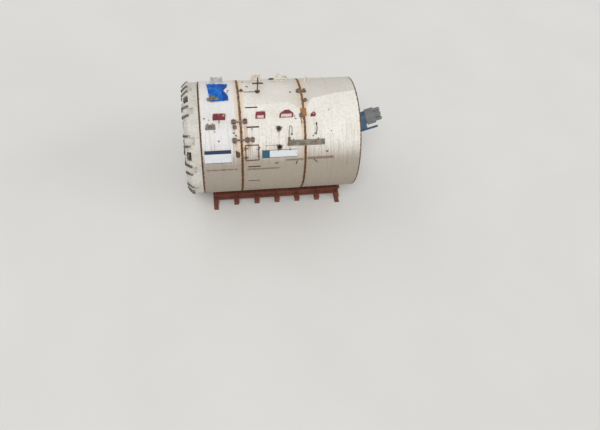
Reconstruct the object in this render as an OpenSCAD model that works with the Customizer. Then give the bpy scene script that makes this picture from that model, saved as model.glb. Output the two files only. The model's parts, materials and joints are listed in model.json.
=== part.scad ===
// Tunnel boring machine on its assembly cradle, millimetres.
// X runs along the machine with the cutterhead toward -X, Z is up, and the origin is on the
// floor under the middle cross beam of the cradle. On the shields an angle b is counted from
// the crown, positive toward -Y.

/* [Shields] */
// Outside diameter of the front shield
shield_d = 6640; // [6600:5:6680]
// Length of the front shield
front_len = 2250; // [2200:10:2400]
// Length of the middle shield
middle_len = 3600; // [3550:10:3700]
// Length of the tail skin
tail_len = 3250; // [3200:10:3400]
// Height of the front shield's underside above the floor
shield_up = 630; // [600:5:760]
// How much smaller in radius each shield is than the one ahead of it
shield_step = 5; // [0:1:8]
// Wall of the front shield
front_skin = 60; // [50:1:70]
// Wall of the middle shield
middle_skin = 50; // [40:1:60]
// Wall of the tail skin
tail_wall = 45; // [40:1:55]
// Width of the groove between two shields
groove_w = 60; // [40:1:80]
// Depth of the groove between two shields
groove_deep = 20; // [10:1:35]
// Length of the flange that backs a groove
flange_w = 240; // [200:5:280]
// Thickness of the flange that backs a groove
flange_t = 50; // [40:1:60]

/* [Bulkhead and main drive] */
// Distance from the front edge of the shield to the bulkhead
chamber_len = 950; // [900:5:1000]
// Thickness of the bulkhead
bulkhead_t = 100; // [80:1:120]
// Length of the ribs behind the bulkhead
rib_len = 420; // [350:10:480]
// Thickness of the ribs behind the bulkhead
rib_t = 50; // [40:1:60]
// Length of the main drive's housing behind the bulkhead
drive_len = 1100; // [1000:10:1150]
// How far the main drive's housing stands out into the chamber
drive_nose = 200; // [150:5:220]
// How far the main drive's bolting flange stands out past its housing
drive_flange_out = 120; // [80:5:140]
// Thickness of the main drive's bolting flange
drive_flange_t = 60; // [40:1:80]
// Number of drive motors
motor_n = 8;
// Distance of the circle of drive motors inside the main drive's housing
motor_in = 430; // [400:5:460]
// Radius of a drive motor
motor_r = 190; // [170:5:200]
// Length of a drive motor
motor_len = 420; // [350:5:500]
// Radius of the gearbox ahead of a drive motor
gearbox_r = 260; // [240:5:270]
// Length of the gearbox ahead of a drive motor
gearbox_len = 340; // [300:5:400]

/* [Man lock] */
// Outside radius of the man lock
lock_r = 690; // [670:5:700]
// Gap between the man lock and the front shield
lock_gap = 240; // [200:5:260]
// Gap between the man lock and the main drive's flange
lock_drive_gap = 40; // [20:5:80]
// Distance from the man lock's end to the ring under the jacks' feet
lock_back = 250; // [200:10:350]
// Wall of the man lock
lock_wall = 25; // [20:1:30]
// Thickness of the man lock's end plate
lock_end_t = 60; // [40:1:70]
// Radius of the doorway in the man lock's end
door_hole_r = 290; // [270:5:300]
// Radius of the man lock's door
door_r = 335; // [325:1:340]
// Thickness of the man lock's door
door_t = 45; // [35:1:50]
// How far the door's middle lies below the man lock's middle
door_down = 100; // [80:5:120]
// Radius of the hole for the door's hinge pin
hinge_pin_r = 20; // [16:1:24]
// Clearance of the door's hinge pin
pin_clear = 0.1; // [0.05:0.05:0.3]
// Thickness of the ears that carry the door's hinge pin
ear_t = 40; // [30:1:50]
// Width of the ears that carry the door's hinge pin
ear_w = 70; // [60:1:80]
// Distance from the door's middle to an ear
ear_up = 130; // [110:5:150]
// Distance of the hinge pin from the door's edge
hinge_side = 55; // [50:1:65]
// Distance of the hinge pin behind the man lock's end
hinge_out = 60; // [55:1:70]
// Thickness of the door's hinge strap
strap_t = 50; // [40:1:60]

/* [Cutterhead] */
// How far the cutterhead cuts outside the front shield, on the radius
overcut = 20; // [10:1:30]
// Gap between the cutterhead and the front shield
head_gap = 30; // [20:1:45]
// Length of the cutterhead over its rim
head_len = 850; // [820:5:900]
// Depth of the spokes and of the rim
spoke_deep = 560; // [540:5:580]
// How far the rim lies inside the front shield's outside
rim_under = 30; // [20:1:40]
// Thickness of the rim on the radius
rim_deep = 340; // [320:5:380]
// Wall of the skirt behind the rim
skirt_t = 80; // [60:1:100]
// Cut on the rim's front edge
rim_chamfer = 240; // [200:5:260]
// Number of muck notches in the rim
notch_n = 12;
// Width of a muck notch
notch_w = 420; // [380:5:460]
// Depth of a muck notch on the radius
notch_deep = 150; // [120:5:170]
// Number of spokes
spoke_n = 6;
// Width of a spoke
spoke_w = 860; // [840:5:880]
// Radius of the centre block
hub_r = 860; // [845:1:870]
// How far the centre block stands out in front of the spokes
hub_rise = 60; // [40:1:80]
// Width of the face panels inward from the rim
panel_w = 900; // [850:5:950]
// Thickness of the face panels
panel_t = 240; // [200:5:260]
// How far the panels lie behind the face of the spokes
panel_back = 40; // [20:1:60]
// Running clearance of the spigot in the main drive
drive_clear = 0.5; // [0.3:0.1:1]
// Wall of the main drive outside the cutterhead's drive ring
drive_rim = 80; // [60:5:100]
// Width of the cutterhead's drive ring on the radius
ring_deep = 200; // [180:5:220]
// Length of the spigot in the main drive
spigot_len = 240; // [200:5:250]
// Thickness of the plate that carries the spigot
ring_plate_t = 90; // [70:1:110]
// Axial running gap of the drive ring
ring_gap = 10; // [6:1:14]
// Width of a drive leg
leg_w = 360; // [320:5:400]
// How far a drive leg reaches outside the drive ring
leg_past = 100; // [80:5:120]
// How far a drive leg reaches inside the drive ring
leg_under = 150; // [120:5:180]

/* [Cutting tools] */
// Diameter of a disc cutter
cutter_d = 432; // [420:1:440]
// Width of a disc cutter at its hub
cutter_hub_w = 190; // [180:1:200]
// Radius of a disc cutter's hub
cutter_hub_r = 140; // [130:1:145]
// Radius of a disc cutter's axle
cutter_axle_r = 50; // [45:1:55]
// How far a disc cutter stands out of the face
cutter_rise = 110; // [90:1:120]
// Width of a disc cutter's cutting edge
edge_w = 22; // [18:1:28]
// Thickness of a disc cutter's ring at its root
cutter_root_w = 80; // [70:1:90]
// Thickness of a saddle that holds a cutter's axle
saddle_t = 42; // [38:1:48]
// Clearance between a cutter's hub and its saddles
hub_clear = 2; // [1:0.5:4]
// Width of a saddle
saddle_w = 260; // [240:5:280]
// Radius of the first face cutter's place
cutter_from = 1120; // [1110:5:1140]
// Distance between the places for face cutters on a spoke
cutter_pitch = 330; // [320:2:340]
// How much farther out the cutters of the next spoke stand
cutter_shift = 24; // [16:1:26]
// Free width inside the rim behind its gauge cutters
gauge_room = 450; // [440:5:470]
// Lean of the gauge cutters from the machine's axis
gauge_tilt = 60; // [58:0.5:62]
// Length of a cutter's pocket across the spoke
pocket_w = 520; // [500:5:540]
// Depth of a cutter's pocket
pocket_deep = 360; // [340:5:380]
// Distance between scrapers along a spoke
scraper_pitch = 245; // [235:1:255]
// Width of a scraper
scraper_w = 180; // [150:5:200]
// How far a scraper stands out of the face
scraper_rise = 75; // [60:1:85]
// How far a scraper stands out past the spoke's side
scraper_out = 60; // [40:1:70]
// Radius at which the scrapers start
scraper_from = 985; // [975:5:995]
// Width of a scraper's foot on the spoke
scraper_foot = 60; // [50:1:70]
// Thickness of a scraper's edge
scraper_edge = 30; // [24:1:36]
// Width of a gauge scraper round the rim
gauge_block_w = 120; // [100:5:140]
// Thickness of a gauge scraper on the rim
gauge_block_t = 70; // [50:5:90]
// Length of a gauge scraper on the face and on the rim's side
gauge_block_len = 90; // [80:5:110]
// Length of the mixing bars behind the spokes
mixing_len = 420; // [380:5:450]
// Radius of the mixing bars
mixing_r = 60; // [50:1:70]
// Distance of the first mixing bar from the machine's axis
mixing_from = 1750; // [1700:10:1800]
// How much farther out each mixing bar stands than the one before
mixing_step = 250; // [230:5:260]

/* [Thrust jacks] */
// Number of pairs of thrust jacks
pair_n = 16;
// Distance of the circle of thrust jacks inside the middle shield
jack_in = 310; // [305:1:325]
// Angle between the two jacks of a pair
pair_angle = 8.4; // [8:0.1:9]
// Outside radius of a thrust jack's barrel
barrel_r = 150; // [140:1:154]
// Bore radius of a thrust jack's barrel
barrel_bore = 125; // [115:1:128]
// Radius of a thrust jack's rod
rod_r = 100; // [90:1:110]
// Length of a thrust jack's barrel
barrel_len = 2600; // [2550:10:2650]
// Bottom plate inside a barrel
barrel_foot = 50; // [40:1:60]
// Gland at the mouth of a barrel
gland_len = 160; // [120:5:200]
// Clearance between a rod and its gland
rod_clear = 0.5; // [0.3:0.1:1]
// How far the barrels end ahead of the tail skin
barrel_back = 150; // [130:1:170]
// Length of rod that shows with the jack drawn in
rod_show = 100; // [90:1:120]
// Thickness of a thrust shoe along the machine
shoe_t = 150; // [120:5:170]
// Gap between the thrust shoes and the tail skin
shoe_gap = 115; // [110:1:135]
// Width of the thrust shoes on the radius
shoe_deep = 290; // [270:1:294]
// Angle that a thrust shoe covers
shoe_angle = 17; // [15:0.5:18]
// Width on the radius of the ring that holds the barrels
thrust_ring_deep = 615; // [565:5:665]
// Thickness of the ring that holds the barrels
thrust_ring_t = 300; // [260:5:340]
// Distance of that ring's rear face ahead of the tail skin
thrust_ring_back = 700; // [660:5:740]
// Thickness of the ring under the barrels' feet
foot_ring_t = 100; // [80:1:120]

/* [Tail articulation] */
// Number of articulation jacks
artic_n = 8;
// Distance of the circle of articulation jacks inside the middle shield's skin
artic_in = 130; // [127:1:135]
// Radius of an articulation jack
artic_r = 68; // [60:1:70]
// Radius of an articulation jack's rod
artic_rod_r = 42; // [38:1:46]
// Length of an articulation jack's barrel
artic_len = 700; // [650:5:740]
// Length of an articulation jack's rod
artic_rod_len = 520; // [480:5:560]
// Thickness of the block at an articulation jack's end
artic_block_t = 130; // [110:5:150]
// Width of the block at an articulation jack's end
artic_block_w = 120; // [100:5:130]
// Number of rows of tail brushes
brush_n = 3;
// Distance between rows of tail brushes
brush_pitch = 350; // [320:5:380]
// Height of the tail brushes off the skin
brush_h = 80; // [60:1:84]
// Length of a row of tail brushes
brush_w = 160; // [140:1:180]
// Thickness of a row of tail brushes at the tip
brush_tip_w = 50; // [40:1:60]
// Distance of the last row from the end of the skin
brush_back = 60; // [40:1:80]

/* [Frame and segment erector] */
// Distance from the machine's middle to an erector beam's middle
beam_y = 750; // [740:1:760]
// Width of an erector beam
beam_w = 300; // [280:2:310]
// Height of an erector beam
beam_h = 400; // [380:5:420]
// How far the erector beams reach past the tail skin
beam_past = 350; // [300:5:420]
// Wall of an erector beam's box
beam_wall = 40; // [30:1:50]
// Height of the cross ties of the middle frame
tie_h = 300; // [260:5:340]
// Height of the upper cross tie above the axis
tie_top = 1350; // [1300:10:1400]
// Depth of the lower cross tie below the axis
tie_low = 1950; // [1900:10:2000]
// Distance of the erector's ring behind the middle shield
erector_back = 650; // [620:5:680]
// Width of the erector's fixed ring along the machine
fixed_ring_w = 300; // [280:5:320]
// Gap between the erector's turning ring and the tail skin
erector_gap = 1265; // [1245:5:1285]
// Width of the erector's turning ring on the radius
turn_ring_deep = 350; // [340:5:360]
// Width of the erector's fixed ring on the radius
fixed_ring_deep = 200; // [180:5:220]
// How far the fixed ring's lip stands out
lip_out = 60; // [40:5:80]
// Height of the wings that carry the fixed ring on its sleeves
wing_h = 400; // [360:10:440]
// Width of the erector's turning ring along the machine
turn_ring_w = 200; // [180:5:220]
// Running clearance of the erector's bearings
bearing_clear = 0.5; // [0.3:0.1:1]
// Clearance of the carriage round its beams
slide_clear = 0.5; // [0.3:0.1:1]
// Wall of the carriage's sleeves round the beams
sleeve_wall = 60; // [50:1:70]
// Length of the carriage's sleeves
sleeve_len = 700; // [660:5:740]
// Distance from the middle to a radial guide of the erector
guide_y = 500; // [490:1:510]
// Width of a radial guide of the erector
guide_w = 260; // [240:5:280]
// Gap between the guides and the head's beam at rest
guide_gap = 110; // [90:5:130]
// Length of the guides
guide_len = 720; // [700:5:740]
// Radius of the erector head's rods
head_rod_r = 85; // [80:1:90]
// Thickness of the erector head's beam
head_beam_h = 180; // [160:5:200]
// Half length of the erector head's beam
head_beam_y = 650; // [630:5:660]
// Width of the erector head along the machine
head_w = 320; // [280:5:340]
// Distance that the erector head can reach out
head_stroke = 500; // [450:5:510]
// Radius of the motors that turn the erector
turn_motor_r = 150; // [130:5:160]
// Length of the motors that turn the erector
turn_motor_len = 400; // [350:10:420]
// Radius of the pinions that turn the erector
pinion_r = 100; // [90:1:110]
// Gap between a pinion and the turning ring
pinion_gap = 12; // [8:1:16]
// How far the pinions end short of the turning ring's rear face
pinion_short = 60; // [50:5:80]
// Thickness of the arms that carry the erector's motors
motor_arm_t = 90; // [70:5:100]
// How far those arms stand out round the motors
motor_arm_rim = 15; // [10:1:20]
// Angle of the erector's motors from the crown
motor_arm_b = 48; // [44:1:52]
// How far the erector head's outermost reach ends inside the shoes
reach_gap = 20; // [15:1:30]
// Half width of the erector head's pad
pad_y = 430; // [400:5:450]
// Thickness of the erector head's pad at its edge
pad_h = 90; // [80:1:100]
// Diameter of the drawbar eyes in the beams
tow_eye_d = 90; // [70:1:100]
// Distance of the drawbar eyes from the beams' ends
tow_eye_back = 110; // [90:5:150]

/* [Screw conveyor] */
// Slope of the screw conveyor in degrees
screw_tilt = 22; // [21.5:0.1:22.5]
// Height of the screw's axis above the front shield's skin at the bulkhead
screw_up = 755; // [750:1:770]
// Outside radius of the screw's casing
casing_r = 400; // [390:1:402]
// Bore radius of the screw's casing
casing_bore = 350; // [345:1:360]
// How far the flanges of the casing stand out
casing_flange = 90; // [80:2:100]
// Thickness of a pair of flanges of the casing
casing_flange_t = 100; // [80:2:120]
// How far the casing reaches out of the bulkhead into the chamber
casing_fore = 113; // [80:1:140]
// How far the casing ends behind the erector beams' ends
casing_past = 574; // [530:2:660]
// Radius of the screw's flight
flight_r = 335; // [325:1:337]
// Radius of the screw's shaft
shaft_r = 110; // [100:1:120]
// Pitch of the screw's flight
flight_pitch = 630; // [600:5:660]
// Thickness of the screw's flight
flight_t = 36; // [30:1:42]
// How far the screw stands out into the chamber
screw_nose = 200; // [150:5:250]
// Radius of the screw's rear drive
screw_drive_r = 480; // [460:5:500]
// Length of the screw's rear drive
screw_drive_len = 520; // [480:5:560]
// End plate of the screw's rear drive
screw_drive_end = 60; // [50:1:80]
// Radius of the screw's drive motors
screw_motor_r = 120; // [100:1:130]
// Length of the screw's drive motors
screw_motor_len = 360; // [320:5:400]
// Distance of the screw's drive motors from its axis
screw_motor_out = 270; // [260:1:290]
// Length and width of the discharge opening
outlet_w = 600; // [560:5:640]
// Wall of the discharge chute
outlet_wall = 40; // [30:1:50]
// Depth of the discharge chute below the screw's axis
outlet_deep = 640; // [620:5:680]
// Distance from the casing's end to the discharge opening's middle
outlet_back = 420; // [400:5:450]
// Thickness of the slide gate
gate_t = 30; // [25:1:40]
// Stroke of the slide gate
gate_stroke = 640; // [600:5:660]
// Distance of the screw's hanger ahead of the beams' ends
hanger_back = 220; // [200:5:260]
// Width of the screw's hanger along the machine
hanger_w = 160; // [140:5:200]
// Thickness of a post of the screw's hanger
post_t = 160; // [140:4:180]
// Height of the screw's hanger above the casing
hanger_top = 200; // [160:5:240]
// Depth of the screw's hanger below the casing's axis
hanger_low = 120; // [100:5:150]
// Width of a rail of the slide gate
gate_rail_w = 90; // [80:1:100]
// Height of a rail of the slide gate
gate_rail_h = 90; // [80:1:100]
// Depth of the groove in a rail of the slide gate
gate_lip = 40; // [30:1:50]
// Depth of the slide gate below the chute
gate_low = 60; // [55:1:62]

/* [Outside of the shields] */
// Distance of the lifting lugs from the machine's middle plane
lug_y = 1430; // [1410:5:1450]
// Thickness of a lifting lug
lug_t = 70; // [60:1:80]
// Thickness of the gussets beside a lifting lug
gusset_t = 40; // [30:1:50]
// How far the gussets stand out from a lifting lug
gusset_out = 150; // [120:5:170]
// Thickness of the cheeks and foot plates of the brackets along the joints
cheek_t = 30; // [24:1:36]
// Radius of the pins of the brackets along the joints
bracket_pin_r = 26; // [22:1:30]
// Width of the bars that bridge the front joint
bridge_w = 90; // [80:2:100]
// Height of the bars that bridge the front joint
bridge_h = 70; // [60:2:80]
// Number of slots round the middle shield
slot_n = 18;
// Length of a slot
slot_len = 720; // [660:5:760]
// Width of a slot
slot_w = 90; // [70:1:110]
// Distance from the front joint to the slots
slot_from = 310; // [280:5:340]
// Angle of the first slot from the crown
slot_b0 = -26; // [-28:0.5:-24]
// Diameter of a round port in the shell
port_d = 300; // [260:5:340]
// Width of the wall of a round port
port_rim = 60; // [50:1:70]
// Height of a round port
port_h = 60; // [40:1:80]
// Length of the guard rail's post
post_len = 1100; // [900:10:1200]
// Diameter of the guard rail's post
post_d = 70; // [60:1:80]
// Length of the guard rail's cross bar
post_bar = 620; // [560:10:700]
// Height of the guard rail's cross bar
post_bar_up = 620; // [560:10:700]
// Width of the guard rail's foot plate
post_foot = 180; // [150:5:220]
// Distance from the front joint to the guard rail's post
post_x = 1110; // [1070:5:1150]
// Angle of the guard rail's post from the crown
post_b = -5; // [-6:0.5:-4]
// Distance from the front joint to the hatch
hatch_x = 180; // [160:5:200]
// Length of the hatch's frame
hatch_len = 780; // [740:5:800]
// Width of the hatch's frame
hatch_w = 940; // [900:5:960]
// Angle of the hatch from the crown
hatch_b = 59; // [58:0.5:60]
// Width of the hatch frame's bars
hatch_bar = 60; // [50:1:70]
// Thickness of the hatch frame's bars
hatch_t = 25; // [20:1:30]
// Thickness of an access board
board_t = 45; // [38:1:50]
// Thickness of a name board
sign_t = 12; // [8:1:20]
// Space that the folded tarpaulin takes off the shell
tarp_t = 25; // [20:1:35]

/* [Cradle] */
// Half length of a cross beam
cross_y = 2300; // [2200:10:2400]
// Height and width of a cross beam
cross_h = 300; // [280:5:320]
// Distance between cross beams
cross_pitch = 1300; // [1250:10:1350]
// Flange of the cradle's beams
beam_flange = 20; // [15:1:25]
// Web of the cradle's beams
beam_web = 14; // [10:1:20]
// Number of cross beams on each side of the middle one
cross_side_n = 3;
// Angle of the rails from straight down
rail_angle = 32; // [30:0.5:34]
// Width of a rail
rail_w = 300; // [280:5:320]
// Thickness of a rail
rail_t = 120; // [100:5:130]
// Thickness of the slide bar between rail and front shield
bar_t = 60; // [50:1:70]
// Width of a slide bar
bar_w = 110; // [90:5:130]
// Width of the stringers' flanges
stringer_w = 400; // [380:5:420]
// Height of a stringer
stringer_h = 520; // [500:5:540]
// Distance between the saddle plates under a rail
saddle_pitch = 650; // [625:5:675]
// Thickness of a saddle plate
plate_t = 30; // [24:1:36]
// Length of an anchor plate
anchor_w = 300; // [280:5:320]
// Diameter of an anchor hole
anchor_hole_d = 40; // [36:1:44]
// Distance between anchor holes
anchor_pitch = 180; // [160:5:200]

/* [Hidden] */
// Gap where one curved or bored piece seats on another
fit = 0.3;
// Gap round a barrel in the ring that holds it
barrel_fit = 0.7;
// Overshoot of a cut past the face that it opens
over = 5;
$fn = 288;

paint = "#e6e0d2";
grey_steel = "#8d8a84";
rust = "#7a4a2c";
red_primer = "#7c2f33";
cradle_rust = "#6b4030";
dark = "#33312f";

front_r = shield_d / 2;
middle_r = front_r - shield_step;
tail_r = front_r - 2 * shield_step;
axis_h = front_r + shield_up;
front_in = front_r - front_skin;
middle_in = middle_r - middle_skin;
tail_in = tail_r - tail_wall;
x_front = -(front_len + middle_len + tail_len) / 2;
x_j1 = x_front + front_len;
x_j2 = x_j1 + middle_len;
x_tail = x_j2 + tail_len;
x_bulk = x_front + chamber_len;
x_bulk_rear = x_bulk + bulkhead_t;
x_head_rear = x_front - head_gap;
x_face = x_head_rear - head_len;
x_spoke_rear = x_face + spoke_deep;
gauge_r = front_r + overcut;
rim_r = front_r - rim_under;
rim_in = rim_r - rim_deep;
panel_in = rim_in - panel_w;
spoke_pitch = 360 / spoke_n;
lock_up = front_in - lock_gap - lock_r;
door_up = lock_up - door_down;
drive_flange_r = lock_up - lock_r - lock_drive_gap;
drive_r = drive_flange_r - drive_flange_out;
motor_circle_r = drive_r - motor_in;
ring_out = drive_r - drive_rim;
ring_in = ring_out - ring_deep;
leg_out = ring_out + leg_past;
leg_in = ring_in - leg_under;
jack_circle_r = middle_r - jack_in;
x_barrel1 = x_j2 - barrel_back;
x_barrel0 = x_barrel1 - barrel_len;
lock_len = x_barrel0 - foot_ring_t - x_bulk_rear - lock_back;
thrust_ring_in = middle_in - thrust_ring_deep;
artic_circle_r = middle_in - artic_in;
shoe_out = tail_in - shoe_gap;
shoe_in = shoe_out - shoe_deep;
turn_ring_r = tail_in - erector_gap;
fixed_ring_r = turn_ring_r - turn_ring_deep;
fixed_ring_in = fixed_ring_r - fixed_ring_deep;
x_beam1 = x_tail + beam_past;
screw_cross_x = x_bulk + (front_in - screw_up) / tan(screw_tilt);
casing_s0 = -(front_in - screw_up) / sin(screw_tilt) - casing_fore;
casing_s1 = (x_beam1 + casing_past - screw_cross_x) / cos(screw_tilt);

// local z along +X from x, on the machine's axis
module along(x) translate([x, 0, axis_h]) rotate([0, 90, 0]) children();

// local z outward from the crown turned by b, at distance r from the axis
module on_shell(x, b, r) translate([x, 0, axis_h]) rotate([b, 0, 0]) translate([0, 0, r])
    children();

// local z forward out of the cutterhead's face, local x toward the crown
module head_frame(x) translate([x, 0, axis_h]) rotate([0, -90, 0]) children();

// local x along the screw's axis, measured from where it crosses the machine's axis
module screw_frame(s) translate([screw_cross_x, 0, axis_h]) rotate([0, -screw_tilt, 0])
    translate([s, 0, 0]) children();

module along_screw(s) screw_frame(s) rotate([0, 90, 0]) children();

module tube(x0, x1, r_out, r_in) along(x0) difference() {
    cylinder(r = r_out, h = x1 - x0);
    translate([0, 0, -over]) cylinder(r = r_in, h = x1 - x0 + 2 * over);
}

module shaped_ring(x) along(x) rotate_extrude() children();

module block(x0, x1, y0, y1, z0, z1) translate([x0, y0, z0]) cube([x1 - x0, y1 - y0, z1 - z0]);

// Cutterhead

// middle angle of each gap between two spokes
gap_angles = [for (i = [0 : spoke_n - 1]) (i + 0.5) * spoke_pitch];
spoke_angles = [for (i = [0 : spoke_n - 1]) i * spoke_pitch];
notch_angles = [for (i = [0 : notch_n - 1]) (i + 0.5) * 360 / notch_n];

module cutter_rim() color(paint) head_frame(x_head_rear) difference() {
    rotate_extrude() polygon([[rim_r - skirt_t, 0], [rim_r, 0], [rim_r, head_len - rim_chamfer],
        [rim_r - rim_chamfer, head_len], [rim_in, head_len], [rim_in, head_len - spoke_deep],
        [rim_r - skirt_t, head_len - spoke_deep]]);
    for (a = notch_angles) rotate([0, 0, a])
        translate([rim_r - notch_deep, -notch_w / 2, head_len - spoke_deep - over])
            cube([notch_deep * 2, notch_w, spoke_deep + 2 * over]);
    for (row = gauge_rows) cutter_at(row) pocket();
}

module cutter_spokes() color(paint) head_frame(x_spoke_rear) difference() {
    for (a = spoke_angles) rotate([0, 0, a]) intersection() {
        translate([0, -spoke_w / 2, 0]) cube([rim_in, spoke_w, spoke_deep]);
        cylinder(r = rim_in - fit, h = spoke_deep);
    }
    translate([0, 0, -over]) cylinder(r = hub_r + fit, h = spoke_deep + 2 * over);
    translate([0, 0, x_spoke_rear - x_head_rear])
        for (row = concat(face_rows, gauge_rows)) cutter_at(row) pocket();
}

module cutter_hub() color(paint) head_frame(x_spoke_rear) difference() {
    union() {
        cylinder(r = hub_r, h = spoke_deep + hub_rise - 40);
        translate([0, 0, spoke_deep + hub_rise - 40]) cylinder(r1 = hub_r, r2 = hub_r - 40, h = 40);
    }
    translate([0, 0, x_spoke_rear - x_head_rear])
        for (row = centre_rows) cutter_at(row) pocket();
}

panel_tip = (spoke_w / 2 + fit) / sin(spoke_pitch / 2);
module cutter_panels() color(paint) head_frame(x_face + panel_back + panel_t)
    for (a = gap_angles) rotate([0, 0, a]) difference() {
        intersection() {
            cylinder(r = rim_in - fit, h = panel_t);
            // the sides run along the two spokes that the panel is welded between
            linear_extrude(panel_t) polygon([[panel_tip, 0],
                for (s = [-1, 1]) [panel_tip, 0]
                    + 2 * rim_in * [cos(spoke_pitch / 2), s * sin(spoke_pitch / 2)]]);
        }
        translate([0, 0, -over]) cylinder(r = panel_in, h = panel_t + 2 * over);
    }

// Disc cutters: [angle, radius, how far the seat stands out of the face, tilt outward]
centre_rows = [[30, 250, hub_rise, 0], [120, 480, hub_rise, 0], [210, 250, hub_rise, 0],
    [300, 480, hub_rise, 0]];
face_n = floor((rim_in - gauge_room - cutter_from) / cutter_pitch);
face_rows = [for (i = [0 : spoke_n - 1], j = [0 : face_n])
    if ((i + j) % 2 == 0 || j % 2 == 0)
        [i * spoke_pitch, cutter_from + cutter_pitch * j + cutter_shift * i, 0, 0]];
// a gauge cutter sits low on the rim's chamfer and reaches the cut's edge
gauge_low = 0.8 * rim_chamfer;
gauge_short = 3;
gauge_seat_r = gauge_r - gauge_short - cutter_rise * sin(gauge_tilt);
gauge_rows = [for (i = [0 : spoke_n - 1]) [i * spoke_pitch, gauge_seat_r, -gauge_low, gauge_tilt]];

// local z out of the face at a cutter's middle, local x outward on the radius
module cutter_at(row) rotate([0, 0, row[0]]) translate([row[1], 0, head_len + row[2]])
    rotate([0, row[3], 0]) translate([0, 0, cutter_rise - cutter_d / 2]) children();

pocket_half = cutter_hub_w / 2 + hub_clear + saddle_t;

module pocket() translate([-pocket_half, -pocket_w / 2, cutter_d / 2 - cutter_rise - pocket_deep])
    cube([2 * pocket_half, pocket_w, 2 * pocket_deep]);

module cutter() rotate([0, 90, 0]) rotate_extrude() polygon([
    [0, -pocket_half + fit], [cutter_axle_r, -pocket_half + fit],
    [cutter_axle_r, -cutter_hub_w / 2], [cutter_hub_r, -cutter_hub_w / 2],
    [cutter_hub_r, -cutter_root_w / 2], [cutter_d / 2 - 60, -cutter_root_w / 2],
    [cutter_d / 2, -edge_w / 2], [cutter_d / 2, edge_w / 2],
    [cutter_d / 2 - 60, cutter_root_w / 2], [cutter_hub_r, cutter_root_w / 2],
    [cutter_hub_r, cutter_hub_w / 2], [cutter_axle_r, cutter_hub_w / 2],
    [cutter_axle_r, pocket_half - fit], [0, pocket_half - fit]]);

module disc_cutters() color(grey_steel) head_frame(x_head_rear)
    for (row = concat(centre_rows, face_rows, gauge_rows)) cutter_at(row) cutter();

// a saddle fills the pocket's end from its floor to above the axle
module saddle() translate([-pocket_half + fit, 0, 0]) difference() {
    translate([0, -saddle_w / 2, cutter_d / 2 - cutter_rise - pocket_deep])
        cube([saddle_t - fit, saddle_w, pocket_deep - saddle_short]);
    translate([-over, 0, 0]) rotate([0, 90, 0])
        cylinder(r = cutter_axle_r + fit, h = saddle_t + 2 * over);
}

// how far a saddle's top stays below the face
saddle_short = 30;
module cutter_saddles() color(dark) head_frame(x_head_rear)
    for (row = concat(centre_rows, face_rows, gauge_rows)) cutter_at(row) {
        saddle();
        mirror([1, 0, 0]) saddle();
    }

// Scrapers stand along both edges of each spoke, their tips out past its side
scraper_low = panel_back - 6;
scraper_n = floor((rim_in - scraper_from - scraper_w) / scraper_pitch);
function scraper_at(k) = scraper_from + k * scraper_pitch;
// beside the panels only every second scraper is there
scraper_ks = [for (k = [0 : scraper_n]) if (scraper_at(k) + scraper_w < panel_in || k % 2 == 1) k];
module face_scrapers() color(grey_steel) head_frame(x_face)
    for (a = spoke_angles, s = [-1, 1], k = scraper_ks)
        rotate([0, 0, a]) mirror([0, s < 0 ? 1 : 0, 0])
            translate([scraper_at(k), spoke_w / 2 - scraper_foot, 0]) scraper();

// a wedge on the face with its edge hanging over the spoke's side
module scraper() translate([scraper_w, 0, 0]) rotate([0, -90, 0]) linear_extrude(scraper_w)
    polygon([[0, 0], [0, scraper_foot], [-scraper_low, scraper_foot],
        [-scraper_low, scraper_foot + scraper_out / 2], [scraper_rise, scraper_foot + scraper_out],
        [scraper_rise, scraper_foot + scraper_out - scraper_edge]]);

// Gauge scrapers: blocks on the rim beside each notch, out to the cut's edge
module gauge_scrapers() color(grey_steel) head_frame(x_face)
    for (a = notch_angles, s = [-1, 1]) rotate([0, 0, a]) mirror([0, s < 0 ? 1 : 0, 0])
        translate([rim_r - rim_chamfer, notch_w / 2 + 10, 0]) gauge_scraper();

// its section wraps the rim's cut edge
gauge_tip = gauge_r - rim_r + rim_chamfer - 2;
module gauge_scraper() rotate([90, 0, 0]) mirror([0, 0, 1]) linear_extrude(gauge_block_w)
    polygon([[-gauge_block_len, 0], [0, 0], [rim_chamfer, -rim_chamfer],
        [rim_chamfer, -rim_chamfer - gauge_block_len], [gauge_tip, -rim_chamfer - gauge_block_len],
        [gauge_tip, -rim_chamfer + 20], [20, gauge_block_t], [30 - gauge_block_len, gauge_block_t]]);

// the spoke that carries each mixing bar, from the innermost bar out
mixing_spokes = [1, 3, 5, 0];
module mixing_bars() color(rust) head_frame(x_spoke_rear) for (k = [0 : len(mixing_spokes) - 1])
    rotate([0, 0, mixing_spokes[k] * spoke_pitch])
        translate([mixing_from + k * mixing_step, 0, -mixing_len])
            cylinder(r = mixing_r, h = mixing_len, $fn = 32);

x_ring_plate = x_bulk - drive_nose - ring_gap - ring_plate_t;
module drive_legs() color(paint) for (a = spoke_angles) head_frame(x_ring_plate) rotate([0, 0, a])
    translate([leg_in, -leg_w / 2, 0])
        cube([leg_out - leg_in, leg_w, x_ring_plate - x_spoke_rear]);

module drive_ring() color(grey_steel) {
    tube(x_ring_plate, x_ring_plate + ring_plate_t, leg_out, leg_in);
    tube(x_ring_plate + ring_plate_t, x_ring_plate + ring_plate_t + spigot_len + ring_gap,
        ring_out, ring_in);
}

// Front shield

module front_shell() color(paint) tube(x_front, x_j1 - groove_w / 2, front_r, front_in);

module bulkhead() color(paint) {
    difference() {
        along(x_bulk) cylinder(r = front_in - fit, h = bulkhead_t);
        along(x_bulk - over) cylinder(r = drive_r + fit, h = bulkhead_t + 2 * over);
        along_screw(casing_s0 - casing_r) cylinder(r = casing_r + fit, h = 4 * casing_r);
    }
    bulkhead_ribs();
}

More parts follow.
